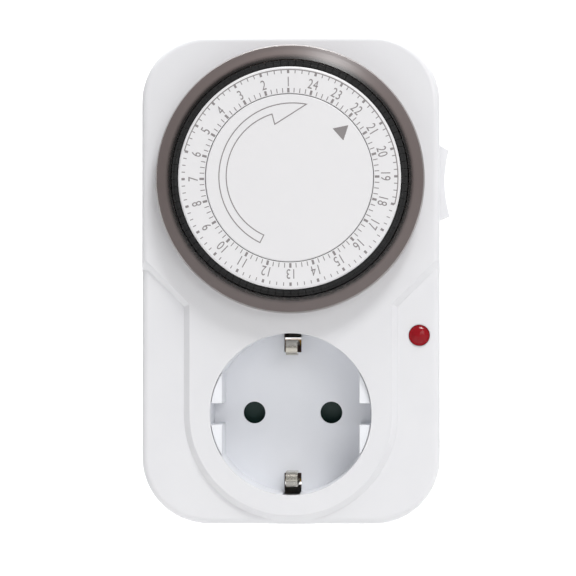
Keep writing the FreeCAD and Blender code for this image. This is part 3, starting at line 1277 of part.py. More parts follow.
def motor():
    outer = size("stator_radius")
    wall = size("stator_wall")
    rotor = size("rotor_radius")
    pole_in = rotor + size("pole_gap")
    pole_out = pole_in + 0.8
    front = number(PLATE_BACK)
    back = number(STATOR_BACK)
    coil = size("coil_radius")
    arbor = size("arbor_radius")
    cup = disc(outer, MOTOR_AXIS, front, back).cut(disc(outer - wall, MOTOR_AXIS, front - 1, back - wall))
    cup = cup.cut(disc(arbor + 0.01, MOTOR_AXIS, front, back + 1))
    claws = [claw(pole_in, pole_out, front + 2.2, back - wall + 0.1, k * 360 / POLES) for k in range(POLES)]
    node("stator_cup", made("stator_cup", cup.multiFuse(claws)))
    plate_disc = disc(outer - wall - 0.02, MOTOR_AXIS, front, front + wall, pole_in)
    between = [(k + 0.5) * 360 / POLES for k in range(POLES)]
    claws = [claw(pole_in, pole_out, front + wall - 0.1, back - 2.2, turn) for turn in between]
    node("stator_plate", made("stator_plate", plate_disc.multiFuse(claws)))

    bobbin_front = front + wall + 0.1
    bobbin_back = back - wall - 0.1
    tube_in = pole_out + 0.1
    core = disc(tube_in + 0.6, MOTOR_AXIS, bobbin_front, bobbin_back, tube_in)
    rims = [disc(coil + 0.4, MOTOR_AXIS, y, y + 0.6, tube_in) for y in (bobbin_front, bobbin_back - 0.6)]
    node("coil_bobbin", made("coil_bobbin", core.multiFuse(rims).removeSplitter()))
    winding = disc(coil, MOTOR_AXIS, bobbin_front + 0.62, bobbin_back - 0.62, tube_in + 0.62)
    node("coil_winding", made("coil_winding", winding))

    bore = arbor + size("running_gap")
    module = size("train_module")
    wheel_front, wheel_back = layer(1)
    magnet_front = front + 1.6
    magnet_back = back - wall - 0.8
    teeth = STAGES[0][0]
    mesh = bearing(MOTOR_AXIS, ARBOR_A)
    parts = [
        disc(rotor, MOTOR_AXIS, magnet_front, magnet_back, rotor - 3),
        disc(rotor - 2.9, MOTOR_AXIS, magnet_front + 1, magnet_front + 2.4, bore),
        disc(bore + 1.1, MOTOR_AXIS, wheel_back + 0.1, back - wall - 0.15, bore),
        toothed(teeth, module, mesh, MOTOR_AXIS, wheel_front - 0.1, wheel_back + 0.2, bore),
    ]
    node("rotor", made("rotor", parts[0].multiFuse(parts[1:]).removeSplitter()))


front_housing()
rear_housing()
housing_screws()
dial_bezel()
centre_disc()
hour_plate()
tappet_carrier()
tappet_band()
tappet_groups()
dial_post()
dial_washer()
socket_cup()
contact_carrier()
carrier_screws()
shutter()
shutter_spring()
earth_clips()
earth_bridge()
plug_pins()
neutral_sleeve()
live_sleeve()
contact_blade()
live_feed()
switch_board()
lamp()
lead_wires()
trip_lever()
override_rocker()
gear_plate()
plate_screws()
gear_arbors()
for gear_number in range(1, 6):
    reduction_gear(gear_number)
clutch_wheel()
clutch_washer()
drive_pinion()
motor()
doc.recompute()

for thing in doc.Objects:
    if "Invalid" in thing.State or "Error" in thing.State:
        raise RuntimeError(f"{thing.Name} ({thing.Label}) failed: {thing.State}")
os.makedirs("parts", exist_ok=True)
for thing in NODES:
    shape = thing.Shape
    if shape.isNull() or not shape.isValid() or not shape.Solids:
        raise RuntimeError(f"{thing.Label} has no valid solid")
    shape.exportStep(f"parts/{thing.Label}.step")
    print(f"{thing.Label}: {len(shape.Solids)} solids, {shape.Volume:.1f} mm3")
print(len(NODES), "nodes")
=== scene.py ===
"""Dresses a plug in timer switch: finishes for every piece, the dial's print and a small studio."""

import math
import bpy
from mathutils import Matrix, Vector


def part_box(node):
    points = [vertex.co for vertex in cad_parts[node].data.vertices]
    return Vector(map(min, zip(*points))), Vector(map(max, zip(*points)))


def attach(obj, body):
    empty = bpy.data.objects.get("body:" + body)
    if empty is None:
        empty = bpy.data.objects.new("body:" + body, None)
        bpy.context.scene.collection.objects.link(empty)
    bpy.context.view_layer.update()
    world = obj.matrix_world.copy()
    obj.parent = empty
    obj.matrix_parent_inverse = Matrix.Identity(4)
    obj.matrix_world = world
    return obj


bl_info = {
    "name": "Plug in timer dress",
    "version": (1, 0, 0),
    "blender": (4, 5, 0),
    "location": "View3D > Sidebar > Timer",
    "description": "Finishes, dial print and studio for a plug in timer switch",
    "category": "Object",
}

import bpy
from mathutils import Matrix, Vector

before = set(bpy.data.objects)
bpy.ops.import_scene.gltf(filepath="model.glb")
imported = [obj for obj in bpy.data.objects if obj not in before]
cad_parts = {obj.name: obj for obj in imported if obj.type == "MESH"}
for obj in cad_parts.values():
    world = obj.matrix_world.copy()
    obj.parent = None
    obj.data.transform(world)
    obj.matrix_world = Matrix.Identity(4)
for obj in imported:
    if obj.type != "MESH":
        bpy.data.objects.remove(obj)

# One millimetre in the frame's metres
MM = 0.001

# The dial's axis and printed face and the case's foot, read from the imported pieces
disc_low, disc_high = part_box("centre_disc")
DIAL_X = (disc_low[0] + disc_high[0]) / 2
DIAL_Z = (disc_low[2] + disc_high[2]) / 2
DIAL_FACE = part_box("hour_plate")[0][1]
CENTRE = Vector((DIAL_X, DIAL_FACE, DIAL_Z))
CASE_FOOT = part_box("front_housing")[0][2]

# How the dial is divided
HOURS = 24
QUARTERS = 96
DEGREES_PER_HOUR = 15

# The studio in metres: the lights' target, the floor and the sweep up to the wall
TIMER_MIDDLE = (0, -0.05, 0.03)
FLOOR_SIZE = 4
FLOOR_DROP = 0.06
FLOOR_BACK = 0.9
SWEEP_RADIUS = 0.6
WALL_HEIGHT = 3

# Each light's name, place, target, size and share of the key light's power
LIGHTS = (
    ("key", (0.35, -0.75, 1.2), TIMER_MIDDLE, 0.35, 1.0),
    ("fill", (0.45, -1.2, 0.4), TIMER_MIDDLE, 0.5, 0.25),
    ("top", (0.0, -0.2, 1.3), TIMER_MIDDLE, 0.6, 0.6),
    ("backdrop", (0.0, 0.25, 0.8), (0, 1.35, 0.05), 0.6, 2.6),
)


class TimerPrintSettings(bpy.types.PropertyGroup):
    """What is printed on the dial."""

    ink_depth: bpy.props.FloatProperty(
        name="Ink depth",
        description="How far the ink stands on the plate",
        default=0.02 * MM,
        unit="LENGTH",
        precision=6,
    )
    dial_turn: bpy.props.FloatProperty(
        name="Dial turn",
        description="How far hour 1 stands left of the top",
        default=math.radians(0.65),
        subtype="ANGLE",
    )
    number_height: bpy.props.FloatProperty(
        name="Number height",
        description="Height of the hour numbers",
        default=2.3 * MM,
        unit="LENGTH",
        precision=5,
    )
    number_radius: bpy.props.FloatProperty(
        name="Number radius",
        description="From the dial's axis to the numbers' middle",
        default=22.95 * MM,
        unit="LENGTH",
        precision=5,
    )
    number_width: bpy.props.FloatProperty(
        name="Number width",
        description="Width of the figures as a share of their natural width",
        default=0.74,
        subtype="FACTOR",
        min=0.3,
        max=1.0,
    )
    inner_marks: bpy.props.FloatVectorProperty(
        name="Inner marks",
        description="Inner and outer end of the marks beside the disc",
        size=2,
        default=(20.35 * MM, 21.45 * MM),
        unit="LENGTH",
        precision=5,
    )
    outer_marks: bpy.props.FloatVectorProperty(
        name="Outer marks",
        description="Inner and outer end of the marks at the rim",
        size=2,
        default=(24.95 * MM, 25.75 * MM),
        unit="LENGTH",
        precision=5,
    )
    quarter_width: bpy.props.FloatProperty(
        name="Quarter mark width",
        description="Width of the marks for quarters of an hour",
        default=0.2 * MM,
        unit="LENGTH",
        precision=5,
    )
    hour_width: bpy.props.FloatProperty(
        name="Hour mark width",
        description="Width of the marks for full hours",
        default=0.55 * MM,
        unit="LENGTH",
        precision=5,
    )
    night_radius: bpy.props.FloatProperty(
        name="Night line radius",
        description="Radius of the line from hour 18 over the top to hour 6",
        default=25.85 * MM,
        unit="LENGTH",
        precision=5,
    )
    line_width: bpy.props.FloatProperty(
        name="Line width",
        description="Width of the arrow's outline and of the night line",
        default=0.25 * MM,
        unit="LENGTH",
        precision=5,
    )
    pointer_turn: bpy.props.FloatProperty(
        name="Pointer turn",
        description="How far the pointer stands right of the top",
        default=math.radians(48.4),
        subtype="ANGLE",
    )
    pointer_radius: bpy.props.FloatProperty(
        name="Pointer radius",
        description="From the dial's axis to the pointer's middle",
        default=16.6 * MM,
        unit="LENGTH",
        precision=5,
    )
    pointer_size: bpy.props.FloatProperty(
        name="Pointer size",
        description="From the pointer's middle to its corners",
        default=2.22 * MM,
        unit="LENGTH",
        precision=5,
    )
    pointer_corner: bpy.props.FloatProperty(
        name="Pointer corner",
        description="How far the pointer's corners are softened",
        default=0.12 * MM,
        unit="LENGTH",
        precision=5,
    )


class TimerColourSettings(bpy.types.PropertyGroup):
    """Colours that a user would change, as sRGB hex."""

    shell: bpy.props.StringProperty(
        name="Case", description="Colour of the case", default="E6E6E8"
    )
    dial: bpy.props.StringProperty(
        name="Dial", description="Colour of the dial's plates", default="E6E5E6"
    )
    ink: bpy.props.StringProperty(
        name="Ink", description="Colour of the dial's print", default="858181"
    )
    smoke: bpy.props.StringProperty(
        name="Smoked ring", description="Tint of the smoked ring", default="A89C97"
    )
    lamp: bpy.props.StringProperty(
        name="Lamp", description="Colour of the lamp's lens", default="8F0E1A"
    )


class TimerStageSettings(bpy.types.PropertyGroup):
    """Camera and lights."""

    camera_place: bpy.props.FloatVectorProperty(
        name="Camera",
        description="Where the camera stands",
        size=3,
        default=(0.0223, -0.7015, 0.0162),
        subtype="TRANSLATION",
    )
    camera_target: bpy.props.FloatVectorProperty(
        name="Target",
        description="What the camera looks at",
        size=3,
        default=(-0.0006, -0.0515, 0.0304),
        subtype="TRANSLATION",
    )
    lens: bpy.props.FloatProperty(
        name="Lens", description="Focal length", default=168.75, unit="CAMERA"
    )
    key_power: bpy.props.FloatProperty(
        name="Key light",
        description="Power of the key light, which the others follow",
        default=9.5,
        unit="POWER",
    )
    sky: bpy.props.FloatProperty(
        name="Sky", description="Brightness of the even light all round", default=0.4
    )


# Small helpers for objects

def only(*chosen):
    """Selects just these objects, the first one active."""
    bpy.ops.object.select_all(action="DESELECT")
    for thing in chosen:
        thing.select_set(True)
    bpy.context.view_layer.objects.active = chosen[0]


def settle(thing):
    """Puts an object's place, turn and scale into its mesh."""
    only(thing)
    bpy.ops.object.transform_apply(location=True, rotation=True, scale=True)


def finished(thing, name, body, material):
    """Names a new piece, gives it its material and makes it ride on a body of the frame."""
    thing.name = name
    thing.data.name = name
    thing.data.materials.clear()
    thing.data.materials.append(material)
    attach(thing, body)
    return thing


def on_dial(turn, radius):
    """A place on the dial's face, turned anticlockwise from the top, with +Z facing out."""
    return (
        Matrix.Translation(CENTRE)
        @ Matrix.Rotation(-turn, 4, "Y")
        @ Matrix.Translation((0, 0, radius))
        @ Matrix.Rotation(math.radians(90), 4, "X")
    )


def on_face(right, up):
    """A place on the dial's face, in millimetres right of and above its axis."""
    return CENTRE + Vector((right * MM, 0, up * MM))


# Materials

def linear(colour):
    """An sRGB hex value as linear red, green, blue and full alpha."""
    parts = [int(colour[i : i + 2], 16) / 255 for i in (0, 2, 4)]
    return (*[c / 12.92 if c <= 0.04045 else ((c + 0.055) / 1.055) ** 2.4 for c in parts], 1.0)


def add(tree, kind, inputs=None, **settings):
    """Adds one node with its settings; an input given a socket is linked to it."""
    node = tree.nodes.new("ShaderNode" + kind)
    for name, value in settings.items():
        setattr(node, name, value)
    for name, value in (inputs or {}).items():
        if isinstance(value, bpy.types.NodeSocket):
            tree.links.new(value, node.inputs[name])
        else:
            node.inputs[name].default_value = value
    return node


def blank(name):
    """A material with no nodes yet, and its node tree."""
    material = bpy.data.materials.new(name)
    material.use_nodes = True
    material.node_tree.nodes.clear()
    return material, material.node_tree


def moulded(name, colours, roughness, grain, depth, edge=0.0, **fixed):
    """A moulded plastic: two near colours in soft clouds, uneven gloss, a fine grain, soft edges."""
    material, tree = blank(name)
    where = add(tree, "TexCoord").outputs["Object"]
    soft = {"Vector": where, "Scale": 1 / (9 * MM), "Detail": 2.0}
    clouds = add(tree, "TexNoise", soft).outputs["Fac"]
    grainy = {"Vector": where, "Scale": 1 / grain, "Detail": 3.0, "Roughness": 0.55}
    fine = add(tree, "TexNoise", grainy).outputs["Fac"]
    relief = {"Height": fine, "Strength": 1.0, "Distance": depth}
    if edge:
        relief["Normal"] = add(tree, "Bevel", {"Radius": edge}, samples=4).outputs["Normal"]
    first, second = colours
    mixed = {0: clouds, 6: linear(first), 7: linear(second)}
    low, high = roughness
    dull = {"Value": clouds, "From Min": 0.35, "From Max": 0.65, "To Min": low, "To Max": high}
    shader = add(tree, "BsdfPrincipled", {
        "Base Color": add(tree, "Mix", mixed, data_type="RGBA").outputs[2],
        "Roughness": add(tree, "MapRange", dull).outputs["Result"],
        "Normal": add(tree, "Bump", relief).outputs["Normal"],
        "IOR": 1.53,
        **fixed,
    })
    add(tree, "OutputMaterial", {"Surface": shader.outputs["BSDF"]})
    return material


def metal(name, colours, roughness, scratch, depth, stretch=(1, 1, 1)):
    """A plated or rolled metal: marks of a real width, stretched along the way it was worked."""
    material, tree = blank(name)
    where = add(tree, "TexCoord").outputs["Object"]
    drawn = add(tree, "Mapping", {"Vector": where, "Scale": stretch}).outputs["Vector"]
    worked = {"Vector": drawn, "Scale": 1 / scratch, "Detail": 4.0}
    marks = add(tree, "TexNoise", worked).outputs["Fac"]
    soft = {"Vector": where, "Scale": 1 / (4 * MM), "Detail": 2.0}
    clouds = add(tree, "TexNoise", soft).outputs["Fac"]
    first, second = colours
    mixed = {0: clouds, 6: linear(first), 7: linear(second)}
    low, high = roughness
    dull = {"Value": marks, "From Min": 0.35, "From Max": 0.65, "To Min": low, "To Max": high}
    relief = {"Height": marks, "Strength": 1.0, "Distance": depth}
    shader = add(tree, "BsdfPrincipled", {
        "Base Color": add(tree, "Mix", mixed, data_type="RGBA").outputs[2],
        "Roughness": add(tree, "MapRange", dull).outputs["Result"],
        "Normal": add(tree, "Bump", relief).outputs["Normal"],
        "Metallic": 1.0,
    })
    add(tree, "OutputMaterial", {"Surface": shader.outputs["BSDF"]})
    return material


def abs_case():
    """Injection moulded ABS from a polished tool: near white, satin, with a faint orange peel."""
    colours = (bpy.context.scene.timer_colours.shell, "E1E1E4")
    return moulded(
        "White_ABS_case", colours,
        roughness=(0.30, 0.38), grain=1.6 * MM, depth=0.004 * MM, edge=0.25 * MM,
    )


def abs_dial():
    """ABS plates of the dial: a cleaner white than the case and a little smoother."""
    colours = (bpy.context.scene.timer_colours.dial, "E2E1E3")
    return moulded(
        "White_ABS_dial", colours,
        roughness=(0.34, 0.42), grain=1.2 * MM, depth=0.002 * MM, edge=0.3 * MM,
    )


def polyamide_socket():
    """Moulded polyamide of the socket's cup: a cool white, duller, so the well is soft in shade; its
    white is lighter than the case's, partly painted light that brightens the shaded well.
    """
    return moulded(
        # Partly painted light: this white is set lighter than the case's so the shaded well reads
        # brighter
        "White_polyamide_socket", ("F3F4F8", "ECEEF2"),
        roughness=(0.38, 0.48), grain=0.9 * MM, depth=0.005 * MM, edge=0.2 * MM,
    )


def acetal_black():
    """Black acetal of drum and tappets: waxy, with a dull sheen."""
    return moulded(
        "Black_acetal", ("0C0C0D", "131314"),
        roughness=(0.36, 0.48), grain=0.5 * MM, depth=0.006 * MM, edge=0.1 * MM, IOR=1.45,
    )


def acetal_natural():
    """Natural acetal of the gears: a milky off-white with a soft sheen."""
    return moulded(
        "Natural_acetal_gears", ("DEDCD2", "D3D0C4"),
        roughness=(0.34, 0.45), grain=0.5 * MM, depth=0.003 * MM, IOR=1.48,
    )


def acetal_tan():
    """Tan acetal of the trip lever: a warm brown with a soft sheen."""
    return moulded(
        "Tan_acetal_lever", ("B87A58", "AA6C4B"),
        roughness=(0.4, 0.5), grain=0.5 * MM, depth=0.004 * MM, IOR=1.48,
    )


def polyamide_green():
    """Dark green polyamide of the safety shutter."""
    return moulded(
        "Green_polyamide_shutter", ("0D2C28", "12322D"),
        roughness=(0.4, 0.5), grain=0.5 * MM, depth=0.005 * MM, IOR=1.42,
    )


def phenolic_brown():
    """Pressed phenolic resin: brown, mottled by its wood flour filler, with a hard gloss."""
    return moulded(
        "Brown_phenolic", ("5E3C2E", "7B5240"),
        roughness=(0.3, 0.45), grain=0.35 * MM, depth=0.008 * MM, IOR=1.6,
    )


def nylon_bobbin():
    """Black glass filled nylon of the coil former: dull and slightly grainy."""
    return moulded(
        "Black_nylon_bobbin", ("202021", "2B2B2C"),
        roughness=(0.42, 0.55), grain=0.3 * MM, depth=0.01 * MM,
    )


def ferrite_rotor():
    """Sintered ferrite of the motor's rotor: dark grey and slightly rough."""
    return moulded(
        "Ferrite_rotor", ("2E2E30", "3A3A3C"),
        roughness=(0.5, 0.65), grain=0.25 * MM, depth=0.015 * MM, IOR=1.8,
    )


def cable_cover():
    """PVC cover of the thin leads: an even blue, slightly dull."""
    return moulded(
        "Blue_PVC_leads", ("2F5E9E", "29548F"),
        roughness=(0.4, 0.5), grain=0.6 * MM, depth=0.004 * MM,
    )


def resistor_lacquer():
    """Lacquered ceramic of the lamp's resistor: tan, with a wet gloss."""
    return moulded(
        "Tan_lacquer_resistor", ("B99C74", "AB8D66"),
        roughness=(0.25, 0.35), grain=0.4 * MM, depth=0.006 * MM,
    )


def printed_ink():
    """Screen printed grey ink: flat and matt, a little thin in places."""
    colours = (bpy.context.scene.timer_colours.ink, "8E898A")
    return moulded(
        "Grey_screen_ink", colours,
        roughness=(0.55, 0.7), grain=0.3 * MM, depth=0.001 * MM, IOR=1.45,
    )


def nickel_plate():
    """Nickel plated brass of pins and earth clips: warm silver with fine drawing marks."""
    return metal(
        "Nickel_plated_brass", ("C9C5BD", "B9B4AA"),
        roughness=(0.16, 0.30), scratch=0.25 * MM, depth=0.004 * MM, stretch=(1, 0.08, 1),
    )


def zinc_steel():
    """Zinc plated steel of screws, plates and arbors: cool grey, cloudy."""
    return metal(
        "Zinc_plated_steel", ("B4B8BC", "A3A7AC"),
        roughness=(0.25, 0.42), scratch=0.3 * MM, depth=0.005 * MM,
    )


def stamped_brass():
    """Rolled and stamped brass of the current path: warm yellow with rolling marks."""
    return metal(
        "Stamped_brass", ("C8A560", "B8934E"),
        roughness=(0.22, 0.36), scratch=0.25 * MM, depth=0.004 * MM, stretch=(1, 1, 0.1),
    )


def copper_wire():
    """Enamelled copper winding: turns 0.2 mm apart, drawn as fine ridges round the coil."""
    return metal(
        "Enamelled_copper", ("B3653A", "9B4F2B"),
        roughness=(0.25, 0.4), scratch=0.2 * MM, depth=0.03 * MM, stretch=(0.05, 1, 0.05),
    )


def smoked_plastic():
    """Smoked polycarbonate: brown grey and see-through; its thick outer wall scatters light."""
    wall_start = 28.9 * MM
    wall_end = 29.9 * MM
    material, tree = blank("Smoked_polycarbonate")
    where = add(tree, "TexCoord").outputs["Object"]
    soft = {"Vector": where, "Scale": 1 / (3 * MM), "Detail": 1.0}
    ripple = add(tree, "TexNoise", soft).outputs["Fac"]
    relief = {"Height": ripple, "Strength": 1.0, "Distance": 0.003 * MM}
    relief["Normal"] = add(tree, "Bevel", {"Radius": 0.3 * MM}, samples=4).outputs["Normal"]
    normal = add(tree, "Bump", relief).outputs["Normal"]
    tint = linear(bpy.context.scene.timer_colours.smoke)
    through = add(tree, "BsdfTransparent", {"Color": tint}).outputs["BSDF"]
    haze = add(tree, "BsdfDiffuse", {"Color": linear("887C7A")}).outputs["BSDF"]
    about = {"Vector": where, "Location": (-CENTRE.x, 0, -CENTRE.z), "Scale": (1, 0, 1)}
    flat = add(tree, "Mapping", about).outputs["Vector"]
    reach = add(tree, "VectorMath", {0: flat}, operation="LENGTH").outputs["Value"]
    wall = {
        "Value": reach, "From Min": wall_start, "From Max": wall_end, "To Min": 0.02, "To Max": 0.55,
    }
    wall = add(tree, "MapRange", wall).outputs["Result"]
    body = add(tree, "MixShader", {"Fac": wall, 1: through, 2: haze}).outputs["Shader"]
    facing = add(tree, "LayerWeight", {"Blend": 0.5, "Normal": normal}).outputs["Facing"]
    rim = {"Value": facing, "From Min": 0.3, "From Max": 1.0, "To Min": 0.035, "To Max": 0.7}
    rim = add(tree, "MapRange", rim).outputs["Result"]
    shine = {"Color": (1, 1, 1, 1), "Roughness": 0.3, "Normal": normal}
    gloss = add(tree, "BsdfGlossy", shine).outputs["BSDF"]
    mix = add(tree, "MixShader", {"Fac": rim, 1: body, 2: gloss})
    add(tree, "OutputMaterial", {"Surface": mix.outputs["Shader"]})
    return material


def lamp_plastic():
    """Clear red polycarbonate of the lamp's lens: a deep colour broken up by small facets."""
    material, tree = blank("Red_polycarbonate_lens")
    where = add(tree, "TexCoord").outputs["Object"]
    facets = add(tree, "TexVoronoi", {"Vector": where, "Scale": 1 / (1.1 * MM)})
    relief = {"Height": facets.outputs["Distance"], "Strength": 0.5, "Distance": 0.15 * MM}
    shader = add(tree, "BsdfPrincipled", {
        "Base Color": linear(bpy.context.scene.timer_colours.lamp),
        "Roughness": 0.15,
        "IOR": 1.49,
        "Specular IOR Level": 0.25,
        "Normal": add(tree, "Bump", relief).outputs["Normal"],
    })
    add(tree, "OutputMaterial", {"Surface": shader.outputs["BSDF"]})
    return material


def lamp_glass():
    """Clear glass of the neon lamp behind the lens."""
    material, tree = blank("Clear_lamp_glass")
    where = add(tree, "TexCoord").outputs["Object"]
    ripple = add(tree, "TexNoise", {"Vector": where, "Scale": 1 / (2 * MM)})
    relief = {"Height": ripple.outputs["Fac"], "Strength": 1.0, "Distance": 0.01 * MM}
    shader = add(tree, "BsdfPrincipled", {
        "Base Color": linear("F2E6DC"),
        "Roughness": 0.03,
        "IOR": 1.5,
        "Transmission Weight": 0.9,
        "Normal": add(tree, "Bump", relief).outputs["Normal"],
    })
    add(tree, "OutputMaterial", {"Surface": shader.outputs["BSDF"]})
    return material


def studio_white():
    """Matt white paint of floor and backdrop, with faint clouds a third of a metre wide."""
    material, tree = blank("Studio_white")
    where = add(tree, "TexCoord").outputs["Object"]
    clouds = add(tree, "TexNoise", {"Vector": where, "Scale": 3.0})
    paint = {0: clouds.outputs["Fac"], 6: linear("DCDCDC"), 7: linear("D8D8D8")}
    shader = add(tree, "BsdfPrincipled", {
        "Base Color": add(tree, "Mix", paint, data_type="RGBA").outputs[2],
        "Roughness": 0.9,
    })
    add(tree, "OutputMaterial", {"Surface": shader.outputs["BSDF"]})
    return material


def dress(material, *nodes):
    """Gives pieces of the frame their material."""
    for name in nodes:
        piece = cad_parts[name]
        piece.data.materials.clear()
        piece.data.materials.append(material)


# Operators: one for each piece or group of like pieces

class TIMER_OT_case(bpy.types.Operator):
    """Finishes the case's two shells, its rocker and its screws"""

    bl_idname = "timer.case"
    bl_label = "Case"

    def execute(self, context):
        dress(abs_case(), "front_housing", "rear_housing", "override_rocker")
        dress(zinc_steel(), "housing_screws", "carrier_screws", "plate_screws")
        return {"FINISHED"}


class TIMER_OT_socket(bpy.types.Operator):
    """Finishes the socket's cup, shutter, clips and the plug's pins"""

    bl_idname = "timer.socket"
    bl_label = "Socket and plug"

    def execute(self, context):
        dress(polyamide_socket(), "socket_cup")
        dress(polyamide_green(), "shutter")
        dress(phenolic_brown(), "contact_carrier", "switch_board")
        dress(nickel_plate(), "plug_pins", "earth_clips")
        return {"FINISHED"}


class TIMER_OT_clockwork(bpy.types.Operator):
    """Finishes the motor, the gear train and their plate"""

    bl_idname = "timer.clockwork"
    bl_label = "Clockwork"

    def execute(self, context):
        gears = [f"gear_{k}" for k in range(1, 6)]
        dress(acetal_natural(), *gears, "clutch_wheel", "drive_pinion")
        steel = bpy.data.materials["Zinc_plated_steel"]
        dress(steel, "gear_arbors", "gear_plate", "stator_cup", "stator_plate")
        dress(steel, "dial_post", "dial_washer", "shutter_spring", "clutch_washer")
        dress(ferrite_rotor(), "rotor")
        dress(nylon_bobbin(), "coil_bobbin")
        dress(copper_wire(), "coil_winding")
        return {"FINISHED"}


class TIMER_OT_switch(bpy.types.Operator):
    """Finishes the current path, the lamp and the leads"""

    bl_idname = "timer.switch"
    bl_label = "Switch and lamp"

    def execute(self, context):
        brass = stamped_brass()
        dress(brass, "neutral_sleeve", "live_sleeve", "live_feed", "contact_blade", "earth_bridge")
        dress(acetal_tan(), "trip_lever")
        dress(lamp_plastic(), "lamp_lens")
        dress(lamp_glass(), "neon_lamp")
        dress(resistor_lacquer(), "lamp_resistor")
        dress(cable_cover(), "lead_wires")
        return {"FINISHED"}


class TIMER_OT_dial(bpy.types.Operator):
    """Finishes the dial's plates, drum, tappets and smoked ring"""

    bl_idname = "timer.dial"
    bl_label = "Dial"

    def execute(self, context):
        dress(abs_dial(), "centre_disc", "hour_plate")
        tappets = [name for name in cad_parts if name.startswith("tappets_")]
        dress(acetal_black(), "tappet_carrier", "tappet_band", *tappets)
        dress(smoked_plastic(), "dial_bezel")
        return {"FINISHED"}


class TIMER_OT_hours(bpy.types.Operator):
    """Prints the 24 hour numbers, tops outward, anticlockwise from the top"""

    bl_idname = "timer.hours"
    bl_label = "Hour numbers"

    def execute(self, context):
        ink = context.scene.timer_print
        numbers = []
        for hour in range(1, HOURS + 1):
            bpy.ops.object.select_all(action="DESELECT")
            bpy.ops.object.text_add()
            text = context.object
            text.data.body = str(hour)
            text.data.size = ink.number_height
            text.data.extrude = ink.ink_depth
            text.data.space_character = 1.06
            bpy.ops.object.convert(target="MESH")
            number = context.object
            bpy.ops.object.origin_set(type="ORIGIN_GEOMETRY", center="BOUNDS")
            grow = ink.number_height / number.dimensions.y
            turn = ink.dial_turn + math.radians(DEGREES_PER_HOUR * (hour - 1))
            shape = Matrix.Diagonal((grow * ink.number_width, grow, 1, 1))
            number.matrix_world = on_dial(turn, ink.number_radius) @ shape
            settle(number)
            numbers.append(number)
        only(*numbers)
        bpy.ops.object.join()
        finished(context.object, "hour_numbers", "dial", printed_ink())
        return {"FINISHED"}


def ring_of_marks(span, width, count, turn, depth):
    """Short radial marks of one width, evenly spaced round the dial, their edges softened."""
    bpy.ops.object.select_all(action="DESELECT")
    bpy.ops.mesh.primitive_plane_add(size=1)
    mark = bpy.context.object
    shape = Matrix.Diagonal((width, span[1] - span[0], 1, 1))
    mark.matrix_world = on_dial(turn, (span[0] + span[1]) / 2) @ shape
    settle(mark)
    bpy.ops.object.mode_set(mode="EDIT")
    bpy.ops.mesh.select_all(action="SELECT")
    bpy.ops.mesh.extrude_region_move(TRANSFORM_OT_translate={"value": (0, -depth, 0)})
    bpy.ops.mesh.inset(thickness=width / 10, depth=depth / 10)
    bpy.ops.mesh.select_all(action="SELECT")
    bpy.ops.mesh.spin(steps=count, dupli=True, angle=2 * math.pi, center=CENTRE, axis=(0, 1, 0))
    bpy.ops.mesh.select_all(action="SELECT")
    bpy.ops.mesh.remove_doubles(threshold=0.005 * MM)
    bpy.ops.mesh.normals_make_consistent(inside=False)
    bpy.ops.object.mode_set(mode="OBJECT")
    return mark


class TIMER_OT_scale(bpy.types.Operator):
    """Prints the hour and quarter marks and the line for the night hours"""

    bl_idname = "timer.scale"
    bl_label = "Dial marks"

    def execute(self, context):
        ink = context.scene.timer_print
        hour_depth = ink.ink_depth * 1.2
        parts = []
        for span in (ink.inner_marks, ink.outer_marks):
            parts.append(
                ring_of_marks(span, ink.quarter_width, QUARTERS, ink.dial_turn, ink.ink_depth)
            )
            parts.append(ring_of_marks(span, ink.hour_width, HOURS, ink.dial_turn, hour_depth))
        parts.append(self.night_line(ink))
        only(*parts)
        bpy.ops.object.join()
        material = bpy.data.materials["Grey_screen_ink"]
        finished(context.object, "hour_marks", "dial", material)
        return {"FINISHED"}

    def night_line(self, ink):
        """A thin line from hour 6 over the top to hour 18."""
        bpy.ops.object.select_all(action="DESELECT")
        bpy.ops.mesh.primitive_circle_add(vertices=4, radius=0.5, rotation=(0, 0, math.radians(45)))
        line = bpy.context.object
        settle(line)
        start = ink.dial_turn + math.radians(DEGREES_PER_HOUR * 5)
        side = math.sqrt(2)
        shape = Matrix.Diagonal((1, ink.line_width * side, 2 * ink.ink_depth * side, 1))
        stand = Matrix.Rotation(math.radians(90), 4, "Y")
        line.matrix_world = on_dial(start, ink.night_radius) @ shape @ stand
        settle(line)
        bpy.ops.object.mode_set(mode="EDIT")
        bpy.ops.mesh.select_all(action="SELECT")
        bpy.ops.mesh.spin(steps=90, angle=-math.pi, center=CENTRE, axis=(0, 1, 0))
        bpy.ops.mesh.select_all(action="SELECT")
        bpy.ops.mesh.fill_holes(sides=4)
        bpy.ops.mesh.select_all(action="SELECT")
        bpy.ops.mesh.normals_make_consistent(inside=False)
        bpy.ops.object.mode_set(mode="OBJECT")
        return line


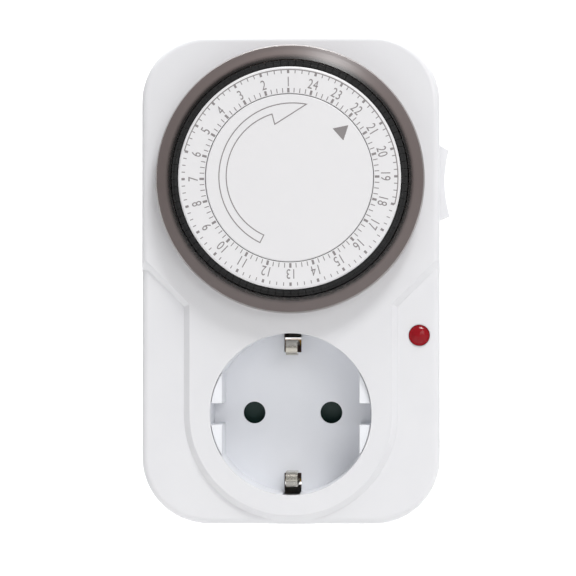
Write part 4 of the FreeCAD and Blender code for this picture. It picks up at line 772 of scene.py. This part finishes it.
class TIMER_OT_disc_print(bpy.types.Operator):
    """Prints the pointer and the turning arrow on the fixed disc"""

    bl_idname = "timer.disc_print"
    bl_label = "Disc print"

    def execute(self, context):
        ink = context.scene.timer_print
        self.arrow(ink)
        self.pointer(ink)
        return {"FINISHED"}

    def arrow(self, ink):
        """An outlined arrow: an arc to the tip, a barb, an arc back and a square tail."""
        outer_middle = on_face(0.74, 0.30)
        outer_sweep = math.radians(166.2)
        inner_middle = on_face(0.42, 0.40)
        inner_sweep = math.radians(138.0)
        tail = on_face(-6.93, -15.62)
        tip = on_face(4.37, 17.42)
        barb = on_face(-3.58, 12.38)
        neck = on_face(-4.24, 14.87)
        bpy.ops.object.select_all(action="DESELECT")
        bpy.ops.mesh.primitive_plane_add(size=MM)
        outline = bpy.context.object
        bpy.ops.object.mode_set(mode="EDIT")
        bpy.ops.mesh.select_all(action="SELECT")
        bpy.ops.mesh.merge(type="CENTER")
        bpy.ops.transform.translate(value=tail)
        bpy.ops.mesh.spin(steps=80, angle=-outer_sweep, center=outer_middle, axis=(0, 1, 0))
        bpy.ops.mesh.extrude_region_move(TRANSFORM_OT_translate={"value": barb - tip})
        bpy.ops.mesh.extrude_region_move(TRANSFORM_OT_translate={"value": neck - barb})
        bpy.ops.mesh.spin(steps=70, angle=inner_sweep, center=inner_middle, axis=(0, 1, 0))
        bpy.ops.mesh.select_all(action="SELECT")
        bpy.ops.mesh.edge_face_add()
        bpy.ops.mesh.normals_make_consistent(inside=False)
        bpy.ops.mesh.inset(thickness=ink.line_width, use_even_offset=True)
        bpy.ops.mesh.delete(type="FACE")
        bpy.ops.object.mode_set(mode="OBJECT")
        thicken = outline.modifiers.new("ink", "SOLIDIFY")
        thicken.thickness = 2 * ink.ink_depth
        thicken.offset = 0
        bpy.ops.object.modifier_apply(modifier=thicken.name)
        material = bpy.data.materials["Grey_screen_ink"]
        finished(outline, "turning_arrow", "case", material)

    def pointer(self, ink):
        """A filled triangle with soft corners that points at the time."""
        depth = 2 * ink.ink_depth
        bpy.ops.object.select_all(action="DESELECT")
        bpy.ops.mesh.primitive_cylinder_add(vertices=3, radius=ink.pointer_size, depth=depth)
        triangle = bpy.context.object
        bpy.ops.object.mode_set(mode="EDIT")
        bpy.ops.mesh.select_mode(type="EDGE")
        bpy.ops.mesh.select_all(action="DESELECT")
        bpy.ops.object.mode_set(mode="OBJECT")
        corners = triangle.data.vertices
        for edge in triangle.data.edges:
            first, second = (corners[v].co for v in edge.vertices)
            edge.select = abs(first.z - second.z) > ink.ink_depth
        bpy.ops.object.mode_set(mode="EDIT")
        bpy.ops.mesh.bevel(offset=ink.pointer_corner, segments=3, affect="EDGES")
        bpy.ops.object.mode_set(mode="OBJECT")
        triangle.matrix_world = on_dial(-ink.pointer_turn, ink.pointer_radius)
        settle(triangle)
        material = bpy.data.materials["Grey_screen_ink"]
        finished(triangle, "time_pointer", "case", material)


class TIMER_OT_stage(bpy.types.Operator):
    """Adds the pale floor and backdrop, the lights and the camera"""

    bl_idname = "timer.stage"
    bl_label = "Studio"

    def execute(self, context):
        settings = context.scene.timer_stage
        self.backdrop()
        for name, place, target, size, share in LIGHTS:
            self.light(context, name, place, target, size, settings.key_power * share)
        world = bpy.data.worlds.new("Studio_sky")
        world.use_nodes = True
        sky = world.node_tree.nodes["Background"]
        sky.inputs["Color"].default_value = (1, 1, 1, 1)
        sky.inputs["Strength"].default_value = settings.sky
        context.scene.world = world
        context.scene.view_settings.view_transform = "Standard"
        self.camera(context, settings)
        return {"FINISHED"}

    def backdrop(self):
        """A floor under the timer that sweeps up into a wall behind it."""
        bpy.ops.object.select_all(action="DESELECT")
        floor = CASE_FOOT - FLOOR_DROP
        middle = (0, FLOOR_BACK - FLOOR_SIZE / 2, floor)
        bpy.ops.mesh.primitive_plane_add(size=FLOOR_SIZE, location=middle)
        sweep = bpy.context.object
        settle(sweep)
        bpy.ops.object.mode_set(mode="EDIT")
        bpy.ops.mesh.select_mode(type="EDGE")
        bpy.ops.mesh.select_all(action="DESELECT")
        bpy.ops.object.mode_set(mode="OBJECT")
        for edge in sweep.data.edges:
            edge.select = all(sweep.data.vertices[v].co.y > 0 for v in edge.vertices)
        bpy.ops.object.mode_set(mode="EDIT")
        hub = (0, FLOOR_BACK, floor + SWEEP_RADIUS)
        bpy.ops.mesh.spin(steps=16, angle=-math.pi / 2, center=hub, axis=(1, 0, 0))
        bpy.ops.mesh.extrude_region_move(TRANSFORM_OT_translate={"value": (0, 0, WALL_HEIGHT)})
        bpy.ops.mesh.select_all(action="SELECT")
        bpy.ops.mesh.normals_make_consistent(inside=False)
        bpy.ops.object.mode_set(mode="OBJECT")
        bpy.ops.object.shade_smooth()
        sweep.name = "studio_sweep"
        sweep.data.materials.append(studio_white())

    def light(self, context, name, place, target, size, power):
        """A square soft light that shines from its place towards a target."""
        data = bpy.data.lights.new(name, "AREA")
        data.size = size
        data.energy = power
        lamp = bpy.data.objects.new(name, data)
        lamp.location = place
        aim = Vector(target) - Vector(place)
        lamp.rotation_euler = aim.to_track_quat("-Z", "Y").to_euler()
        lamp.visible_camera = False
        context.scene.collection.objects.link(lamp)

    def camera(self, context, settings):
        """The camera at the photo's angle."""
        data = bpy.data.cameras.new("camera")
        data.lens = settings.lens
        data.sensor_width = 36
        camera = bpy.data.objects.new("camera", data)
        camera.location = settings.camera_place
        aim = Vector(settings.camera_target) - Vector(settings.camera_place)
        camera.rotation_euler = aim.to_track_quat("-Z", "Y").to_euler()
        context.scene.collection.objects.link(camera)
        context.scene.camera = camera


STEPS = (
    TIMER_OT_case,
    TIMER_OT_socket,
    TIMER_OT_clockwork,
    TIMER_OT_switch,
    TIMER_OT_dial,
    TIMER_OT_hours,
    TIMER_OT_scale,
    TIMER_OT_disc_print,
    TIMER_OT_stage,
)


GROUPS = (
    ("timer_print", TimerPrintSettings),
    ("timer_colours", TimerColourSettings),
    ("timer_stage", TimerStageSettings),
)


class TIMER_PT_panel(bpy.types.Panel):
    """Lists the settings and the steps"""

    bl_label = "Timer"
    bl_space_type = "VIEW_3D"
    bl_region_type = "UI"
    bl_category = "Timer"

    def draw(self, context):
        layout = self.layout
        for attribute, group in GROUPS:
            box = layout.box()
            for name in group.__annotations__:
                box.prop(getattr(context.scene, attribute), name)
        for step in STEPS:
            layout.operator(step.bl_idname)


def register():
    for name, group in GROUPS:
        bpy.utils.register_class(group)
        setattr(bpy.types.Scene, name, bpy.props.PointerProperty(type=group))
    for cls in (*STEPS, TIMER_PT_panel):
        bpy.utils.register_class(cls)


def unregister():
    for cls in (TIMER_PT_panel, *reversed(STEPS)):
        bpy.utils.unregister_class(cls)
    for name, group in reversed(GROUPS):
        delattr(bpy.types.Scene, name)
        bpy.utils.unregister_class(group)


def main():
    """Registers the add-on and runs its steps."""
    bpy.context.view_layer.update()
    register()
    for step in STEPS:
        group, name = step.bl_idname.split(".")
        getattr(getattr(bpy.ops, group), name)()


if __name__ == "__main__":
    main()
